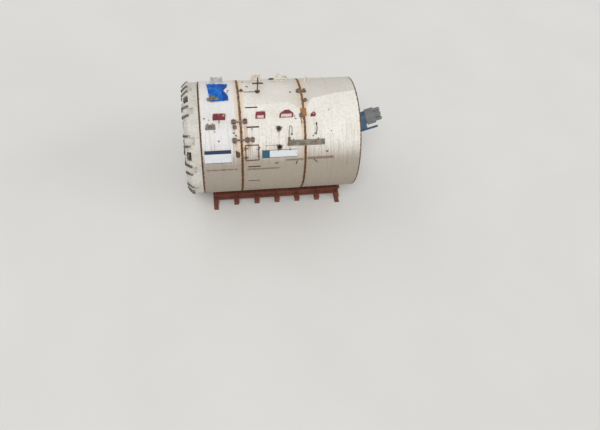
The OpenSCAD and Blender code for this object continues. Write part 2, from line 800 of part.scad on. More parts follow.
// ribs from the main drive's flange to the shield, clear of the man lock and the screw
rib_angles = [40, 65, 90, 115, 140];
module bulkhead_ribs() intersection() {
    tube(x_bulk_rear, x_bulk_rear + rib_len, front_in - fit, drive_flange_r + fit);
    for (s = [-1, 1], b = rib_angles) on_shell(x_bulk_rear, s * b, 0) translate([0, -rib_t / 2, 0])
        cube([rib_len, rib_t, front_r]);
}

module main_drive() color(grey_steel) difference() {
    union() {
        along(x_bulk - drive_nose) cylinder(r = drive_r, h = drive_nose + bulkhead_t + drive_len);
        along(x_bulk_rear) cylinder(r = drive_flange_r, h = drive_flange_t);
    }
    tube(x_bulk - drive_nose - over, x_bulk - drive_nose + spigot_len + ring_gap,
        ring_out + drive_clear, ring_in - drive_clear);
}

x_drive_rear = x_bulk_rear + drive_len;
module drive_motors() color(grey_steel) for (i = [0 : motor_n - 1])
    along(x_drive_rear) rotate([0, 0, (i + 0.5) * 360 / motor_n])
        translate([motor_circle_r, 0, 0]) {
            cylinder(r = gearbox_r, h = gearbox_len, $fn = 48);
            translate([0, 0, gearbox_len]) cylinder(r = motor_r, h = motor_len, $fn = 48);
        }

x_lock_rear = x_bulk_rear + lock_len;
module man_lock() color(paint) {
    difference() {
        translate([0, 0, lock_up]) along(x_bulk_rear) cylinder(r = lock_r, h = lock_len);
        translate([0, 0, lock_up]) along(x_bulk_rear - over)
            cylinder(r = lock_r - lock_wall, h = lock_len - lock_end_t + over);
        translate([0, 0, door_up]) along(x_lock_rear - lock_end_t - over)
            cylinder(r = door_hole_r, h = lock_end_t + 2 * over);
    }
    // two ears carry the door's hinge pin
    for (z = [-1, 1]) translate([x_lock_rear, 0, axis_h + door_up + z * ear_up - ear_t / 2]) difference() {
        translate([0, hinge_y - ear_w / 2, 0]) cube([hinge_out + ear_w / 2, ear_w, ear_t]);
        translate([hinge_out, hinge_y, -over]) cylinder(r = hinge_pin_r, h = ear_t + 2 * over, $fn = 32);
    }
}

hinge_y = door_r + hinge_side;
module lock_door() color(paint) {
    translate([0, 0, door_up]) along(x_lock_rear + fit) cylinder(r = door_r, h = door_t);
    translate([x_lock_rear + hinge_out, hinge_y, axis_h + door_up - ear_up - ear_t / 2])
        cylinder(r = hinge_pin_r - pin_clear, h = 2 * ear_up + ear_t, $fn = 32);
    translate([x_lock_rear + hinge_out - strap_t / 2, 0, axis_h + door_up - ear_up + ear_t / 2 + fit])
        cube([strap_t, hinge_y, 2 * ear_up - ear_t - 2 * fit]);
}

// the groove between two shields, filled by a ring on a wide flange
module joint_ring(x, r_face, r_seat) shaped_ring(x - flange_w / 2) polygon([
    [r_seat - fit - flange_t, 0], [r_seat - fit, 0], [r_seat - fit, (flange_w - groove_w) / 2],
    [r_face, (flange_w - groove_w) / 2], [r_face, (flange_w + groove_w) / 2],
    [r_seat - fit, (flange_w + groove_w) / 2], [r_seat - fit, flange_w],
    [r_seat - fit - flange_t, flange_w]]);

module front_joint() color(rust)
    joint_ring(x_j1, middle_r - groove_deep, min(front_in, middle_in));

// Middle shield

module middle_shell() color(paint) difference() {
    tube(x_j1 + groove_w / 2, x_j2 - groove_w / 2, middle_r, middle_in);
    for (i = [0 : slot_n - 1])
        on_shell(x_j1 + slot_from + slot_len / 2, slot_b0 + i * 360 / slot_n, middle_r) slot_cut();
    for (row = port_rows) on_shell(x_j1 + row[0], row[1], middle_r) translate([0, 0, -2 * middle_skin])
        cylinder(d = port_d - 2 * port_rim, h = 3 * middle_skin, $fn = 48);
}

module slot_cut() for (part = [0, 1]) {
    translate([-(slot_len - slot_w) / 2, -slot_w / 2, -2 * middle_skin])
        cube([slot_len - slot_w, slot_w, 3 * middle_skin]);
    mirror([part, 0, 0]) translate([(slot_len - slot_w) / 2, 0, -2 * middle_skin])
        cylinder(d = slot_w, h = 3 * middle_skin, $fn = 24);
}

module tail_joint() color(rust)
    joint_ring(x_j2, tail_r - groove_deep, min(middle_in, tail_in));

module tail_shell() color(paint) tube(x_j2 + groove_w / 2, x_tail, tail_r, tail_in);

module tail_brushes() color(dark) for (i = [0 : brush_n - 1])
    shaped_ring(x_tail - brush_back - brush_w - i * brush_pitch) polygon([
        [tail_in - fit, 0], [tail_in - fit, brush_w], [tail_in - brush_h, brush_w],
        [tail_in - brush_h, brush_w - brush_tip_w]]);

// Thrust jacks

pair_pitch = 360 / pair_n;
// angle from the crown of the middle of pair i
function pair_b(i) = (i + 0.5) * pair_pitch;
x_shoe = x_barrel1 + rod_show;
x_thrust_ring = x_j2 - thrust_ring_back - thrust_ring_t;

module each_jack(pairs) for (i = pairs, s = [-1, 1]) translate([0, 0, axis_h])
    rotate([pair_b(i) + s * pair_angle / 2, 0, 0]) translate([0, 0, jack_circle_r])
        rotate([0, 90, 0]) children();

module thrust_ring() color(paint) {
    difference() {
        tube(x_thrust_ring, x_thrust_ring + thrust_ring_t, middle_in - fit, thrust_ring_in);
        each_jack([0 : pair_n - 1]) translate([0, 0, x_thrust_ring - over])
            cylinder(r = barrel_r + barrel_fit, h = thrust_ring_t + 2 * over, $fn = 48);
    }
    tube(x_barrel0 - fit - foot_ring_t, x_barrel0 - fit, middle_in - fit, thrust_ring_in);
}

module thrust_barrels() color(grey_steel) each_jack([0 : pair_n - 1])
    translate([0, 0, x_barrel0]) difference() {
        cylinder(r = barrel_r, h = barrel_len, $fn = 48);
        translate([0, 0, barrel_foot])
            cylinder(r = barrel_bore, h = barrel_len - barrel_foot - gland_len, $fn = 48);
        translate([0, 0, barrel_len - gland_len - over])
            cylinder(r = rod_r + rod_clear, h = gland_len + 2 * over, $fn = 48);
    }

module rods(pairs) color("#b9b6ae") each_jack(pairs) translate([0, 0, x_barrel0 + barrel_foot + 20])
    cylinder(r = rod_r, h = x_shoe - x_barrel0 - barrel_foot - 20, $fn = 48);

module shoes(pairs) color(grey_steel) for (i = pairs) intersection() {
    tube(x_shoe, x_shoe + shoe_t, shoe_out, shoe_in);
    translate([0, 0, axis_h]) rotate([pair_b(i), 0, 0]) rotate([0, 90, 0])
        translate([0, 0, x_shoe]) linear_extrude(shoe_t) polygon([[0, 0],
            for (s = [-1, 1]) 2 * shoe_out * [-cos(shoe_angle / 2), s * sin(shoe_angle / 2)]]);
}

// pairs of each steering group, counted from the crown toward -Y
top_pairs = [for (i = [-pair_n / 8 : pair_n / 8 - 1]) i];
left_pairs = [for (i = top_pairs) i + pair_n / 4];
bottom_pairs = [for (i = top_pairs) i + pair_n / 2];
right_pairs = [for (i = top_pairs) i - pair_n / 4];

module rods_top() rods(top_pairs);
module shoes_top() shoes(top_pairs);
module rods_left() rods(left_pairs);
module shoes_left() shoes(left_pairs);
module rods_bottom() rods(bottom_pairs);
module shoes_bottom() shoes(bottom_pairs);
module rods_right() rods(right_pairs);
module shoes_right() shoes(right_pairs);

// Articulation jacks stand between pairs of thrust jacks, from the thrust ring to the tail
x_artic = x_thrust_ring + thrust_ring_t;
module articulation_jacks() color(grey_steel) for (i = [0 : artic_n - 1])
    translate([0, 0, axis_h]) rotate([i * 360 / artic_n, 0, 0]) {
        translate([x_artic, 0, artic_circle_r]) rotate([0, 90, 0]) {
            cylinder(r = artic_r, h = artic_len, $fn = 32);
            translate([0, 0, artic_len]) cylinder(r = artic_rod_r, h = artic_rod_len, $fn = 32);
        }
        difference() {
            translate([x_artic + artic_len + artic_rod_len, -artic_block_w / 2, artic_circle_r - artic_r])
                cube([artic_block_t, artic_block_w, tail_r - artic_circle_r + artic_r]);
            rotate([0, 90, 0]) tail_outside();
        }
    }

// all that lies outside the tail skin's inner face, to cut pieces that seat on it
module tail_outside() translate([0, 0, x_j2]) difference() {
    cylinder(r = tail_r + 50, h = tail_len);
    translate([0, 0, -over]) cylinder(r = tail_in - fit, h = tail_len + 2 * over);
}

// Middle frame and segment erector

x_beam0 = x_thrust_ring + thrust_ring_t;

module middle_frame() color(paint) intersection() {
    along(x_thrust_ring) cylinder(r = thrust_ring_in - fit, h = thrust_ring_t);
    union() {
        for (s = [-1, 1]) translate([x_thrust_ring, s * beam_y - beam_w / 2, axis_h - thrust_ring_in])
            cube([thrust_ring_t, beam_w, 2 * thrust_ring_in]);
        for (z = [tie_top, -tie_low]) block(x_thrust_ring, x_thrust_ring + thrust_ring_t,
            -beam_y, beam_y, axis_h + z, axis_h + z + tie_h);
    }
}

module erector_beams() color(paint) for (s = [-1, 1]) translate([0, s * beam_y, axis_h]) difference() {
    block(x_beam0, x_beam1, -beam_w / 2, beam_w / 2, -beam_h / 2, beam_h / 2);
    block(x_beam0 + 2 * beam_wall, x_beam1 + over, -beam_w / 2 + beam_wall, beam_w / 2 - beam_wall,
        -beam_h / 2 + beam_wall, beam_h / 2 - beam_wall);
    translate([x_beam1 - tow_eye_back, 0, -beam_h]) cylinder(d = tow_eye_d, h = 2 * beam_h, $fn = 48);
}

x_erector = x_j2 + erector_back;
x_turn = x_erector + fixed_ring_w + ring_gap - turn_ring_w;

// a wing starts inside its sleeve's wall and ends inside the ring
wing_y = beam_y + beam_w / 2 + slide_clear + sleeve_wall / 2;
module erector_carriage() color("#c9a53a") {
    tube(x_erector, x_erector + fixed_ring_w, fixed_ring_r, fixed_ring_in);
    // a lip keeps the turning ring in place
    tube(x_erector, x_turn - bearing_clear, fixed_ring_r + lip_out, fixed_ring_r - 1);
    for (s = [0, 1]) mirror([0, s, 0]) block(x_erector, x_erector + fixed_ring_w,
        wing_y, fixed_ring_in + fixed_ring_deep / 2, axis_h - wing_h / 2, axis_h + wing_h / 2);
    for (s = [-1, 1]) translate([x_erector - (sleeve_len - fixed_ring_w), s * beam_y, axis_h]) difference() {
        block(0, sleeve_len, -beam_w / 2 - slide_clear - sleeve_wall, beam_w / 2 + slide_clear + sleeve_wall,
            -beam_h / 2 - slide_clear - sleeve_wall, beam_h / 2 + slide_clear + sleeve_wall);
        block(-over, sleeve_len + over, -beam_w / 2 - slide_clear, beam_w / 2 + slide_clear,
            -beam_h / 2 - slide_clear, beam_h / 2 + slide_clear);
    }
    for (s = [-1, 1]) turn_motor(s * motor_arm_b);
}

// an arm on the fixed ring's front, a motor ahead of it and a pinion beside the turning ring
motor_circle = turn_ring_r + pinion_gap + pinion_r;
module turn_motor(b) {
    half_w = turn_motor_r + motor_arm_rim;
    arm_in = fixed_ring_in + fixed_ring_deep / 5;
    on_shell(x_erector - motor_arm_t, b, arm_in) translate([0, -half_w, 0])
        cube([motor_arm_t + over, 2 * half_w, motor_circle - arm_in + half_w]);
    on_shell(x_erector - motor_arm_t - turn_motor_len, b, motor_circle) rotate([0, 90, 0])
        cylinder(r = turn_motor_r, h = turn_motor_len + over, $fn = 48);
    on_shell(x_erector - over, b, motor_circle) rotate([0, 90, 0])
        cylinder(r = pinion_r, h = x_turn + turn_ring_w - pinion_short - x_erector, $fn = 48);
}

module erector_ring() color("#c9a53a")
    tube(x_turn, x_turn + turn_ring_w, turn_ring_r, fixed_ring_r + bearing_clear);

x_guide = x_turn + turn_ring_w;
// distances below the axis with the head drawn in
head_reach = shoe_in - reach_gap;
pad_rest = head_reach - head_stroke;
head_beam_low = pad_rest - pad_h;
guide_low = head_beam_low - head_beam_h - guide_gap;
guide_top = guide_low - guide_len;
module erector_guides() color("#c9a53a") for (s = [-1, 1]) difference() {
    block(x_guide, x_guide + guide_w, s * guide_y - guide_w / 2, s * guide_y + guide_w / 2,
        axis_h - guide_low, axis_h - guide_top);
    translate([x_guide + guide_w / 2, s * guide_y, axis_h - guide_low - over])
        cylinder(r = head_rod_r + rod_clear, h = guide_low - guide_top + 2 * over, $fn = 48);
}

module erector_head() color("#c9a53a") {
    x0 = x_guide + guide_w / 2 - head_w / 2;
    beam_top = axis_h - head_beam_low + head_beam_h;
    for (s = [-1, 1]) translate([x_guide + guide_w / 2, s * guide_y, beam_top])
        cylinder(r = head_rod_r, h = head_beam_low - head_beam_h - guide_top - 10, $fn = 48);
    block(x0, x0 + head_w, -head_beam_y, head_beam_y, beam_top - head_beam_h, beam_top);
    intersection() {
        block(x0, x0 + head_w, -pad_y, pad_y, axis_h - head_reach, axis_h - head_beam_low);
        translate([0, 0, head_stroke]) along(x0) cylinder(r = head_reach, h = head_w);
    }
}

// Screw conveyor

s_outlet = casing_s1 - outlet_back;

// places of the flanges along the casing, from its front end
flange_pitch = (s_outlet - casing_s0) / 5;
module screw_casing() color("#4f6f8f") difference() {
    union() {
        along_screw(casing_s0) cylinder(r = casing_r, h = casing_s1 - casing_s0);
        for (k = [1 : 4]) along_screw(casing_s0 + k * flange_pitch - casing_flange_t / 2)
            cylinder(r = casing_r + casing_flange, h = casing_flange_t);
    }
    along_screw(casing_s0 - over) cylinder(r = casing_bore, h = casing_s1 - casing_s0 + 2 * over);
    screw_frame(s_outlet) translate([-outlet_w / 2, -outlet_w / 2, -casing_r - over])
        cube([outlet_w, outlet_w, casing_r]);
}

// a square chute under the casing, slotted at its foot for the gate
module screw_outlet() color("#4f6f8f") screw_frame(s_outlet) {
    difference() {
        translate([-outlet_w / 2 - outlet_wall, -outlet_w / 2 - outlet_wall, -outlet_deep])
            cube([outlet_w + 2 * outlet_wall, outlet_w + 2 * outlet_wall, outlet_deep]);
        translate([-outlet_w / 2, -outlet_w / 2, -outlet_deep - over])
            cube([outlet_w, outlet_w, outlet_deep]);
        rotate([0, 90, 0]) translate([0, 0, -outlet_w]) cylinder(r = casing_r + fit, h = 2 * outlet_w);
    }
    rail_len = outlet_w + 2 * outlet_wall + gate_stroke;
    for (s = [-1, 1]) translate([-outlet_w / 2 - outlet_wall, s * rail_mid, 0]) difference() {
        translate([0, -gate_rail_w / 2, -outlet_deep - gate_rail_h])
            cube([rail_len, gate_rail_w, gate_rail_h]);
        translate([-over, -s * gate_rail_w / 2 - gate_lip, gate_z - slide_clear])
            cube([rail_len + 2 * over, 2 * gate_lip, gate_t + 2 * slide_clear]);
    }
}

gate_z = -outlet_deep - gate_low;
rail_mid = outlet_w / 2 + gate_rail_w / 2;

module screw_gate() color(grey_steel) screw_frame(s_outlet) {
    translate([-outlet_w / 2 - outlet_wall + 5, -outlet_w / 2 - gate_lip + slide_clear, gate_z])
        cube([outlet_w + 2 * outlet_wall - 10, outlet_w + 2 * gate_lip - 2 * slide_clear, gate_t]);
}

module screw_drive() color(grey_steel) {
    along_screw(casing_s1) difference() {
        cylinder(r = screw_drive_r, h = screw_drive_len);
        translate([0, 0, -over])
            cylinder(r = shaft_r + bearing_clear, h = screw_drive_len - screw_drive_end);
    }
    along_screw(casing_s1 + screw_drive_len) for (a = [45 : 90 : 315]) rotate([0, 0, a])
        translate([screw_motor_out, 0, 0]) cylinder(r = screw_motor_r, h = screw_motor_len, $fn = 32);
}

x_hanger = x_beam1 - hanger_back - hanger_w;
hanger_screw_z = (x_hanger + hanger_w / 2 - screw_cross_x) * tan(screw_tilt);
// two posts on the erector beams and a yoke round the casing
module screw_hanger() color(paint) difference() {
    union() {
        for (s = [-1, 1]) translate([x_hanger, s * beam_y - post_t / 2, axis_h + beam_h / 2])
            cube([hanger_w, post_t, hanger_screw_z + casing_r + hanger_top - beam_h / 2]);
        block(x_hanger, x_hanger + hanger_w, -beam_y, beam_y,
            axis_h + hanger_screw_z - hanger_low, axis_h + hanger_screw_z + casing_r + hanger_top);
    }
    along_screw(casing_s0) cylinder(r = casing_r + fit, h = casing_s1 - casing_s0);
}

auger_s0 = casing_s0 - screw_nose;
auger_s1 = casing_s1 + screw_drive_len - screw_drive_end - 20;
module auger_shaft() color(grey_steel) along_screw(auger_s0) cylinder(r = shaft_r, h = auger_s1 - auger_s0);

// the flight is one ribbon, swept round the shaft a step at a time
flight_sides = 16;
flight_turns = (casing_s1 - outlet_back + outlet_w / 2 - auger_s0) / flight_pitch;
flight_steps = floor(flight_turns * flight_sides);
flight_in = (shaft_r + fit) / cos(180 / flight_sides);
flight_points = [for (i = [0 : flight_steps])
    let (a = i * 360 / flight_sides, z = i * flight_pitch / flight_sides)
        each [[flight_in * cos(a), flight_in * sin(a), z], [flight_r * cos(a), flight_r * sin(a), z],
            [flight_r * cos(a), flight_r * sin(a), z + flight_t],
            [flight_in * cos(a), flight_in * sin(a), z + flight_t]]];
flight_faces = concat([[0, 1, 2], [0, 2, 3]],
    [for (k = [0, 1]) 4 * flight_steps * [1, 1, 1] + [3 - k, 2 - k, 0]],
    [for (i = [0 : flight_steps - 1], k = [0 : 3]) let (a = 4 * i + k, b = 4 * i + (k + 1) % 4)
        each [[a, a + 4, b + 4], [a, b + 4, b]]]);
module auger_flight() color(grey_steel) along_screw(auger_s0 + 20)
    polyhedron(points = flight_points, faces = flight_faces, convexity = 10);

// Outside of the shields

// Lifting lugs: [middle from the front joint, foot length, height, top length, opening length,
// opening height, legs' height under the opening, eye diameter, eye from the middle, eye height,
// outside radius of the shield]
lug_rows = [
    [-1170, 700, 520, 640, 0, 0, 0, 120, 250, 370, front_r],
    [1120, 560, 560, 500, 380, 210, 60, 0, 0, 0, middle_r],
    [2575, 780, 600, 340, 600, 240, 60, 0, 0, 0, middle_r],
    [4100, 300, 380, 120, 0, 0, 0, 80, 0, 250, tail_r]];

module lifting_lugs() color(red_primer) for (row = lug_rows, s = [-1, 1]) {
    lug(row, s);
    lug_gussets(row, s);
}

// the front lug leans on one tall post outside, the others on two gussets inside
module lug_gussets(row, s) difference() {
    z_foot = sqrt(pow(row[10], 2) - pow(lug_y, 2));
    outside = row[0] < 0;
    tall = outside ? 0.85 * row[2] : 0.45 * row[2];
    for (x = outside ? [0] : [-1, 1] * (row[1] / 2 - 1.5 * gusset_t))
        translate([x_j1 + row[0] + x - gusset_t / 2, s * lug_y, axis_h + z_foot])
            mirror([0, s * (outside ? 1 : -1) < 0 ? 1 : 0, 0]) rotate([90, 0, 90])
                linear_extrude(gusset_t) polygon([[lug_t / 2 - 1, -200], [lug_t / 2 + gusset_out, -200],
                    [lug_t / 2 + gusset_out, 40], [lug_t / 2 + 40, tall], [lug_t / 2 - 1, tall]]);
    along(x_j1 + row[0] - row[1]) cylinder(r = row[10] + fit, h = 2 * row[1]);
}

module lug(row, s) difference() {
    z_foot = sqrt(pow(row[10], 2) - pow(lug_y, 2));
    translate([x_j1 + row[0], s * lug_y + lug_t / 2, axis_h + z_foot]) rotate([90, 0, 0])
        linear_extrude(lug_t) difference() {
            polygon([[-row[1] / 2, -200], [row[1] / 2, -200], [row[1] / 2, row[2] * 0.55],
                [row[3] / 2, row[2] * 0.9], [row[3] / 2 - 40, row[2]], [40 - row[3] / 2, row[2]],
                [-row[3] / 2, row[2] * 0.9], [-row[1] / 2, row[2] * 0.55]]);
            if (row[4] > 0) translate([-row[4] / 2, row[6]]) square([row[4], row[5]]);
            if (row[7] > 0) translate([row[8], row[9]]) circle(d = row[7], $fn = 48);
        }
    along(x_j1 + row[0] - row[1]) cylinder(r = row[10] + fit, h = 2 * row[1]);
}

// Round ports: [distance behind the front joint, angle from the crown]
port_rows = [[2120, 36.5], [2110, 54.4], [2120, -36.5], [2110, -54.4]];
module shell_ports() color(rust) for (row = port_rows) difference() {
    on_shell(x_j1 + row[0], row[1], middle_r) translate([0, 0, -30]) difference() {
        cylinder(d = port_d, h = port_h + 30, $fn = 48);
        translate([0, 0, -over])
            cylinder(d = port_d - 2 * port_rim, h = port_h + 30 + 2 * over, $fn = 48);
    }
    along(x_j1 + row[0] - port_d) cylinder(r = middle_r + fit, h = 2 * port_d);
}

// Brackets along the joints: [from the front joint, angle, length, width, height, shield radius]
bracket_rows = [
    [-380, 28.5, 260, 220, 160, front_r], [-330, 33.5, 200, 180, 120, front_r],
    [260, 28.5, 240, 260, 140, middle_r], [-380, 46, 260, 260, 130, front_r],
    [330, 46, 260, 260, 160, middle_r], [620, 46, 200, 240, 130, middle_r],
    [-230, 60, 200, 260, 110, front_r], [200, -8, 160, 120, 90, middle_r],
    [3440, -4, 180, 220, 110, middle_r], [3790, -4, 180, 200, 120, tail_r],
    [3440, 24.5, 160, 200, 120, middle_r], [3780, 8, 160, 140, 90, tail_r]];
// Bars that bridge the front joint: [from, to, angle]
bridge_rows = [[-500, 370, 28.5], [-500, 710, 46]];
module shell_brackets() color(rust) {
    for (row = bracket_rows) difference() {
        on_shell(x_j1 + row[0], row[1], row[5]) bracket(row[2], row[3], row[4]);
        along(x_j1 + row[0] - row[2]) cylinder(r = row[5] + fit, h = 2 * row[2]);
    }
    for (row = bridge_rows) on_shell(x_j1 + row[0], row[2], front_r + cheek_t - 10)
        translate([0, -bridge_w / 2, 0]) cube([row[1] - row[0], bridge_w, bridge_h]);
}

// two cheeks on a foot plate, with a pin through them
module bracket(l, w, h) {
    translate([-l / 2, -w / 2, -60]) cube([l, w, 60 + cheek_t]);
    for (s = [-1, 1]) translate([-l / 2 + 20, s * (w - cheek_t) / 2 - cheek_t / 2, 0])
        cube([l - 40, cheek_t, h]);
    translate([0, w / 2 + cheek_t, h - 2 * bracket_pin_r]) rotate([90, 0, 0])
        cylinder(r = bracket_pin_r, h = w + 2 * cheek_t, $fn = 24);
}

// Boards: [start from the front joint, length, angle, width, radius that they lie on]
board_rows = [[2560, 2150, 51, 330, middle_r], [-1950, 560, 32.5, 300, front_r]];
module access_boards() color(grey_steel) for (row = board_rows)
    on_shell(x_j1 + row[0], row[2], row[4] + fit) translate([0, -row[3] / 2, 0])
        cube([row[1], row[3], board_t]);

module rail_post() color(rust) translate([x_j1 + post_x, 0, axis_h]) rotate([post_b, 0, 0]) {
    translate([0, 0, middle_r + 20]) rotate([-post_b, 0, 0]) {
        translate([0, 0, -5]) cylinder(d = post_d, h = post_len, $fn = 24);
        translate([-post_bar / 2, -post_d / 2, post_bar_up]) cube([post_bar, post_d, post_d]);
    }
    difference() {
        translate([-post_foot / 2, -post_foot / 2, middle_r - 30]) cube([post_foot, post_foot, 55]);
        rotate([0, 90, 0]) translate([0, 0, -post_foot]) cylinder(r = middle_r + fit, h = 2 * post_foot);
    }
}

// a frame of flat bar round a hatch
module hatch_frame() color(rust) intersection() {
    tube(x_j1 + hatch_x, x_j1 + hatch_x + hatch_len, middle_r + fit + hatch_t, middle_r + fit);
    on_shell(x_j1 + hatch_x, hatch_b, middle_r / 2) difference() {
        translate([0, -hatch_w / 2, 0]) cube([hatch_len, hatch_w, middle_r]);
        translate([hatch_bar, -hatch_w / 2 + hatch_bar, -over])
            cube([hatch_len - 2 * hatch_bar, hatch_w - 2 * hatch_bar, middle_r + 2 * over]);
    }
}

// Curved sheets on the shields: [start from the front joint, length, angle, width, shield radius]
board_names = [[-2090, 1480, 61.5, 720, front_r], [1120, 2000, 61, 420, middle_r]];
tarp_row = [-1740, 1180, -8.5, 1720, front_r];
module curved_sheet(row, t) intersection() {
    tube(x_j1 + row[0], x_j1 + row[0] + row[1], row[4] + fit + t, row[4] + fit);
    translate([x_j1 + row[0] - over, 0, axis_h]) rotate([row[2], 0, 0])
        translate([0, -row[3] / 2, row[4] / 2]) cube([row[1] + 2 * over, row[3], row[4]]);
}
module name_boards() color("#27406b") for (row = board_names) curved_sheet(row, sign_t);
module tarpaulin() color("#1f5fd0") curved_sheet(tarp_row, tarp_t);

// Cradle

rail_top_r = front_r + bar_t;
rail_low_r = rail_top_r + rail_t;
stringer_y = rail_low_r * sin(rail_angle);
cross_xs = [for (i = [-cross_side_n : cross_side_n]) i * cross_pitch];
cradle_half = cross_side_n * cross_pitch + cross_h / 2;
stringer_top = cross_h + stringer_h;

// an I section standing up, flange width w and height h
module i_section(w, h) {
    translate([-w / 2, 0]) square([w, beam_flange]);
    translate([-w / 2, h - beam_flange]) square([w, beam_flange]);
    translate([-beam_web / 2, 0]) square([beam_web, h]);
}

module cradle_cross_beams() color(cradle_rust) for (x = cross_xs) {
    translate([x, cross_y, 0]) rotate([90, 0, 0]) linear_extrude(2 * cross_y) i_section(cross_h, cross_h);
    if (abs(x) == cross_side_n * cross_pitch) for (s = [-1, 1]) difference() {
        block(x - cross_h / 2, x + cross_h / 2, s < 0 ? -cross_y - anchor_w : cross_y,
            s < 0 ? -cross_y : cross_y + anchor_w, 0, beam_flange);
        translate([x, s * (cross_y + anchor_w / 2), -over]) for (dx = [-1, 1], dy = [-1, 1])
            translate([dx * anchor_pitch / 2, dy * anchor_pitch / 2, 0])
                cylinder(d = anchor_hole_d, h = beam_flange + 2 * over, $fn = 32);
    }
}

module cradle_stringers() color(cradle_rust) for (s = [-1, 1])
    translate([-cradle_half, s * stringer_y, cross_h]) rotate([90, 0, 90])
        linear_extrude(2 * cradle_half) i_section(stringer_w, stringer_h);

saddle_xs = [for (i = [-2 * cross_side_n : 2 * cross_side_n]) i * saddle_pitch];
// one plate in the plane across the machine, from the stringer's top to the rail's underside
module cradle_saddles() color(cradle_rust) for (x = saddle_xs, s = [-1, 1])
    translate([x - plate_t / 2, 0, 0]) mirror([0, s < 0 ? 1 : 0, 0]) rotate([90, 0, 90])
        linear_extrude(plate_t) polygon([[stringer_y - stringer_w / 2 + 20, stringer_top],
            [stringer_y + stringer_w / 2 - 20, stringer_top], rail_corner(1), rail_corner(-1)]);

function rail_corner(s) = [rail_low_r * sin(rail_angle) + s * rail_w / 2 * cos(rail_angle),
    axis_h - rail_low_r * cos(rail_angle) + s * rail_w / 2 * sin(rail_angle)];

module cradle_rails() color(cradle_rust) for (s = [-1, 1])
    on_shell(-cradle_half, 180 + s * rail_angle, rail_top_r) translate([0, -rail_w / 2, 0])
        cube([2 * cradle_half, rail_w, rail_t]);

// Slide bars: [from, to, outside radius of the shield above]
bar_rows = [[-cradle_half, x_j1 - groove_w, front_r], [x_j1 + groove_w, x_j2 - groove_w, middle_r],
    [x_j2 + groove_w, cradle_half, tail_r]];
module slide_bars() color(grey_steel) for (row = bar_rows, s = [-1, 1])
    on_shell(row[0], 180 + s * rail_angle, row[2] + fit) translate([0, -bar_w / 2, 0])
        cube([row[1] - row[0], bar_w, rail_top_r - row[2] - fit]);

cutter_rim();
cutter_spokes();
cutter_hub();
cutter_panels();
disc_cutters();
cutter_saddles();
face_scrapers();
gauge_scrapers();
mixing_bars();
drive_legs();
drive_ring();
front_shell();
bulkhead();
main_drive();
drive_motors();
man_lock();
lock_door();
front_joint();
middle_shell();
tail_joint();
tail_shell();
tail_brushes();
thrust_ring();
thrust_barrels();
rods_top();
shoes_top();
rods_left();
shoes_left();
rods_bottom();
shoes_bottom();
rods_right();
shoes_right();
articulation_jacks();
middle_frame();
erector_beams();
erector_carriage();
erector_ring();
erector_guides();
erector_head();
screw_casing();
screw_outlet();
screw_gate();
screw_drive();
screw_hanger();
auger_shaft();
auger_flight();
lifting_lugs();
shell_ports();
shell_brackets();
access_boards();
rail_post();
hatch_frame();
name_boards();
tarpaulin();
cradle_cross_beams();
cradle_stringers();
cradle_saddles();
cradle_rails();
slide_bars();
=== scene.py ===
"""The finish of a tunnel boring machine that stands on its assembly cradle.

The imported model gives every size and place. Its X runs from the cutterhead to the tail. On the
shields a place is given by its distance along the machine and its angle from the crown, which is
positive toward -Y.
"""

import json
import math
import random
from types import SimpleNamespace

import bmesh
import bpy
from mathutils import Matrix, Vector


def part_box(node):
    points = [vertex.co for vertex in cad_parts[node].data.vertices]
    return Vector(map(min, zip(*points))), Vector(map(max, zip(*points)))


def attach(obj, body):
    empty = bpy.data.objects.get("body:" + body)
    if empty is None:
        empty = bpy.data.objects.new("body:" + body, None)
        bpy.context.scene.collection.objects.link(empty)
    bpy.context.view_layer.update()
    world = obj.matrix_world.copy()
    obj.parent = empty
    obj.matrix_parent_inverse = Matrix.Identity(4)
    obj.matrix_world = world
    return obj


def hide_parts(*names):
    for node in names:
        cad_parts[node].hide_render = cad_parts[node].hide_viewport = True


bl_info = {
    "name": "Tunnel Boring Machine Finish",
    "version": (1, 0, 0),
    "blender": (4, 5, 0),
    "location": "View3D > Sidebar > Machine",
    "description": "Finishes and fittings of a tunnel boring machine on its cradle",
    "category": "Object",
}

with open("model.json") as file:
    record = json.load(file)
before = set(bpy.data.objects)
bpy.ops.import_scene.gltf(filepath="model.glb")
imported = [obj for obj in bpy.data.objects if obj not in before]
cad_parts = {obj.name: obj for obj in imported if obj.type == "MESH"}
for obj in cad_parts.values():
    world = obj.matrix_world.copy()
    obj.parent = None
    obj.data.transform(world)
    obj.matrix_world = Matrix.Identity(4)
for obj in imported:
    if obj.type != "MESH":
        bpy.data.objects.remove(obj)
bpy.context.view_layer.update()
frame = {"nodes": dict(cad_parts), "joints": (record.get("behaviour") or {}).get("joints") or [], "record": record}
NODES = frame["nodes"]
RECORD = frame["record"]


def low(node):
    """Lowest corner of a node."""
    return Vector(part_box(node)[0])


def high(node):
    """Highest corner of a node."""
    return Vector(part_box(node)[1])


def joint_of(name):
    """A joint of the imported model."""
    return next(joint for joint in frame["joints"] if joint["name"] == name)


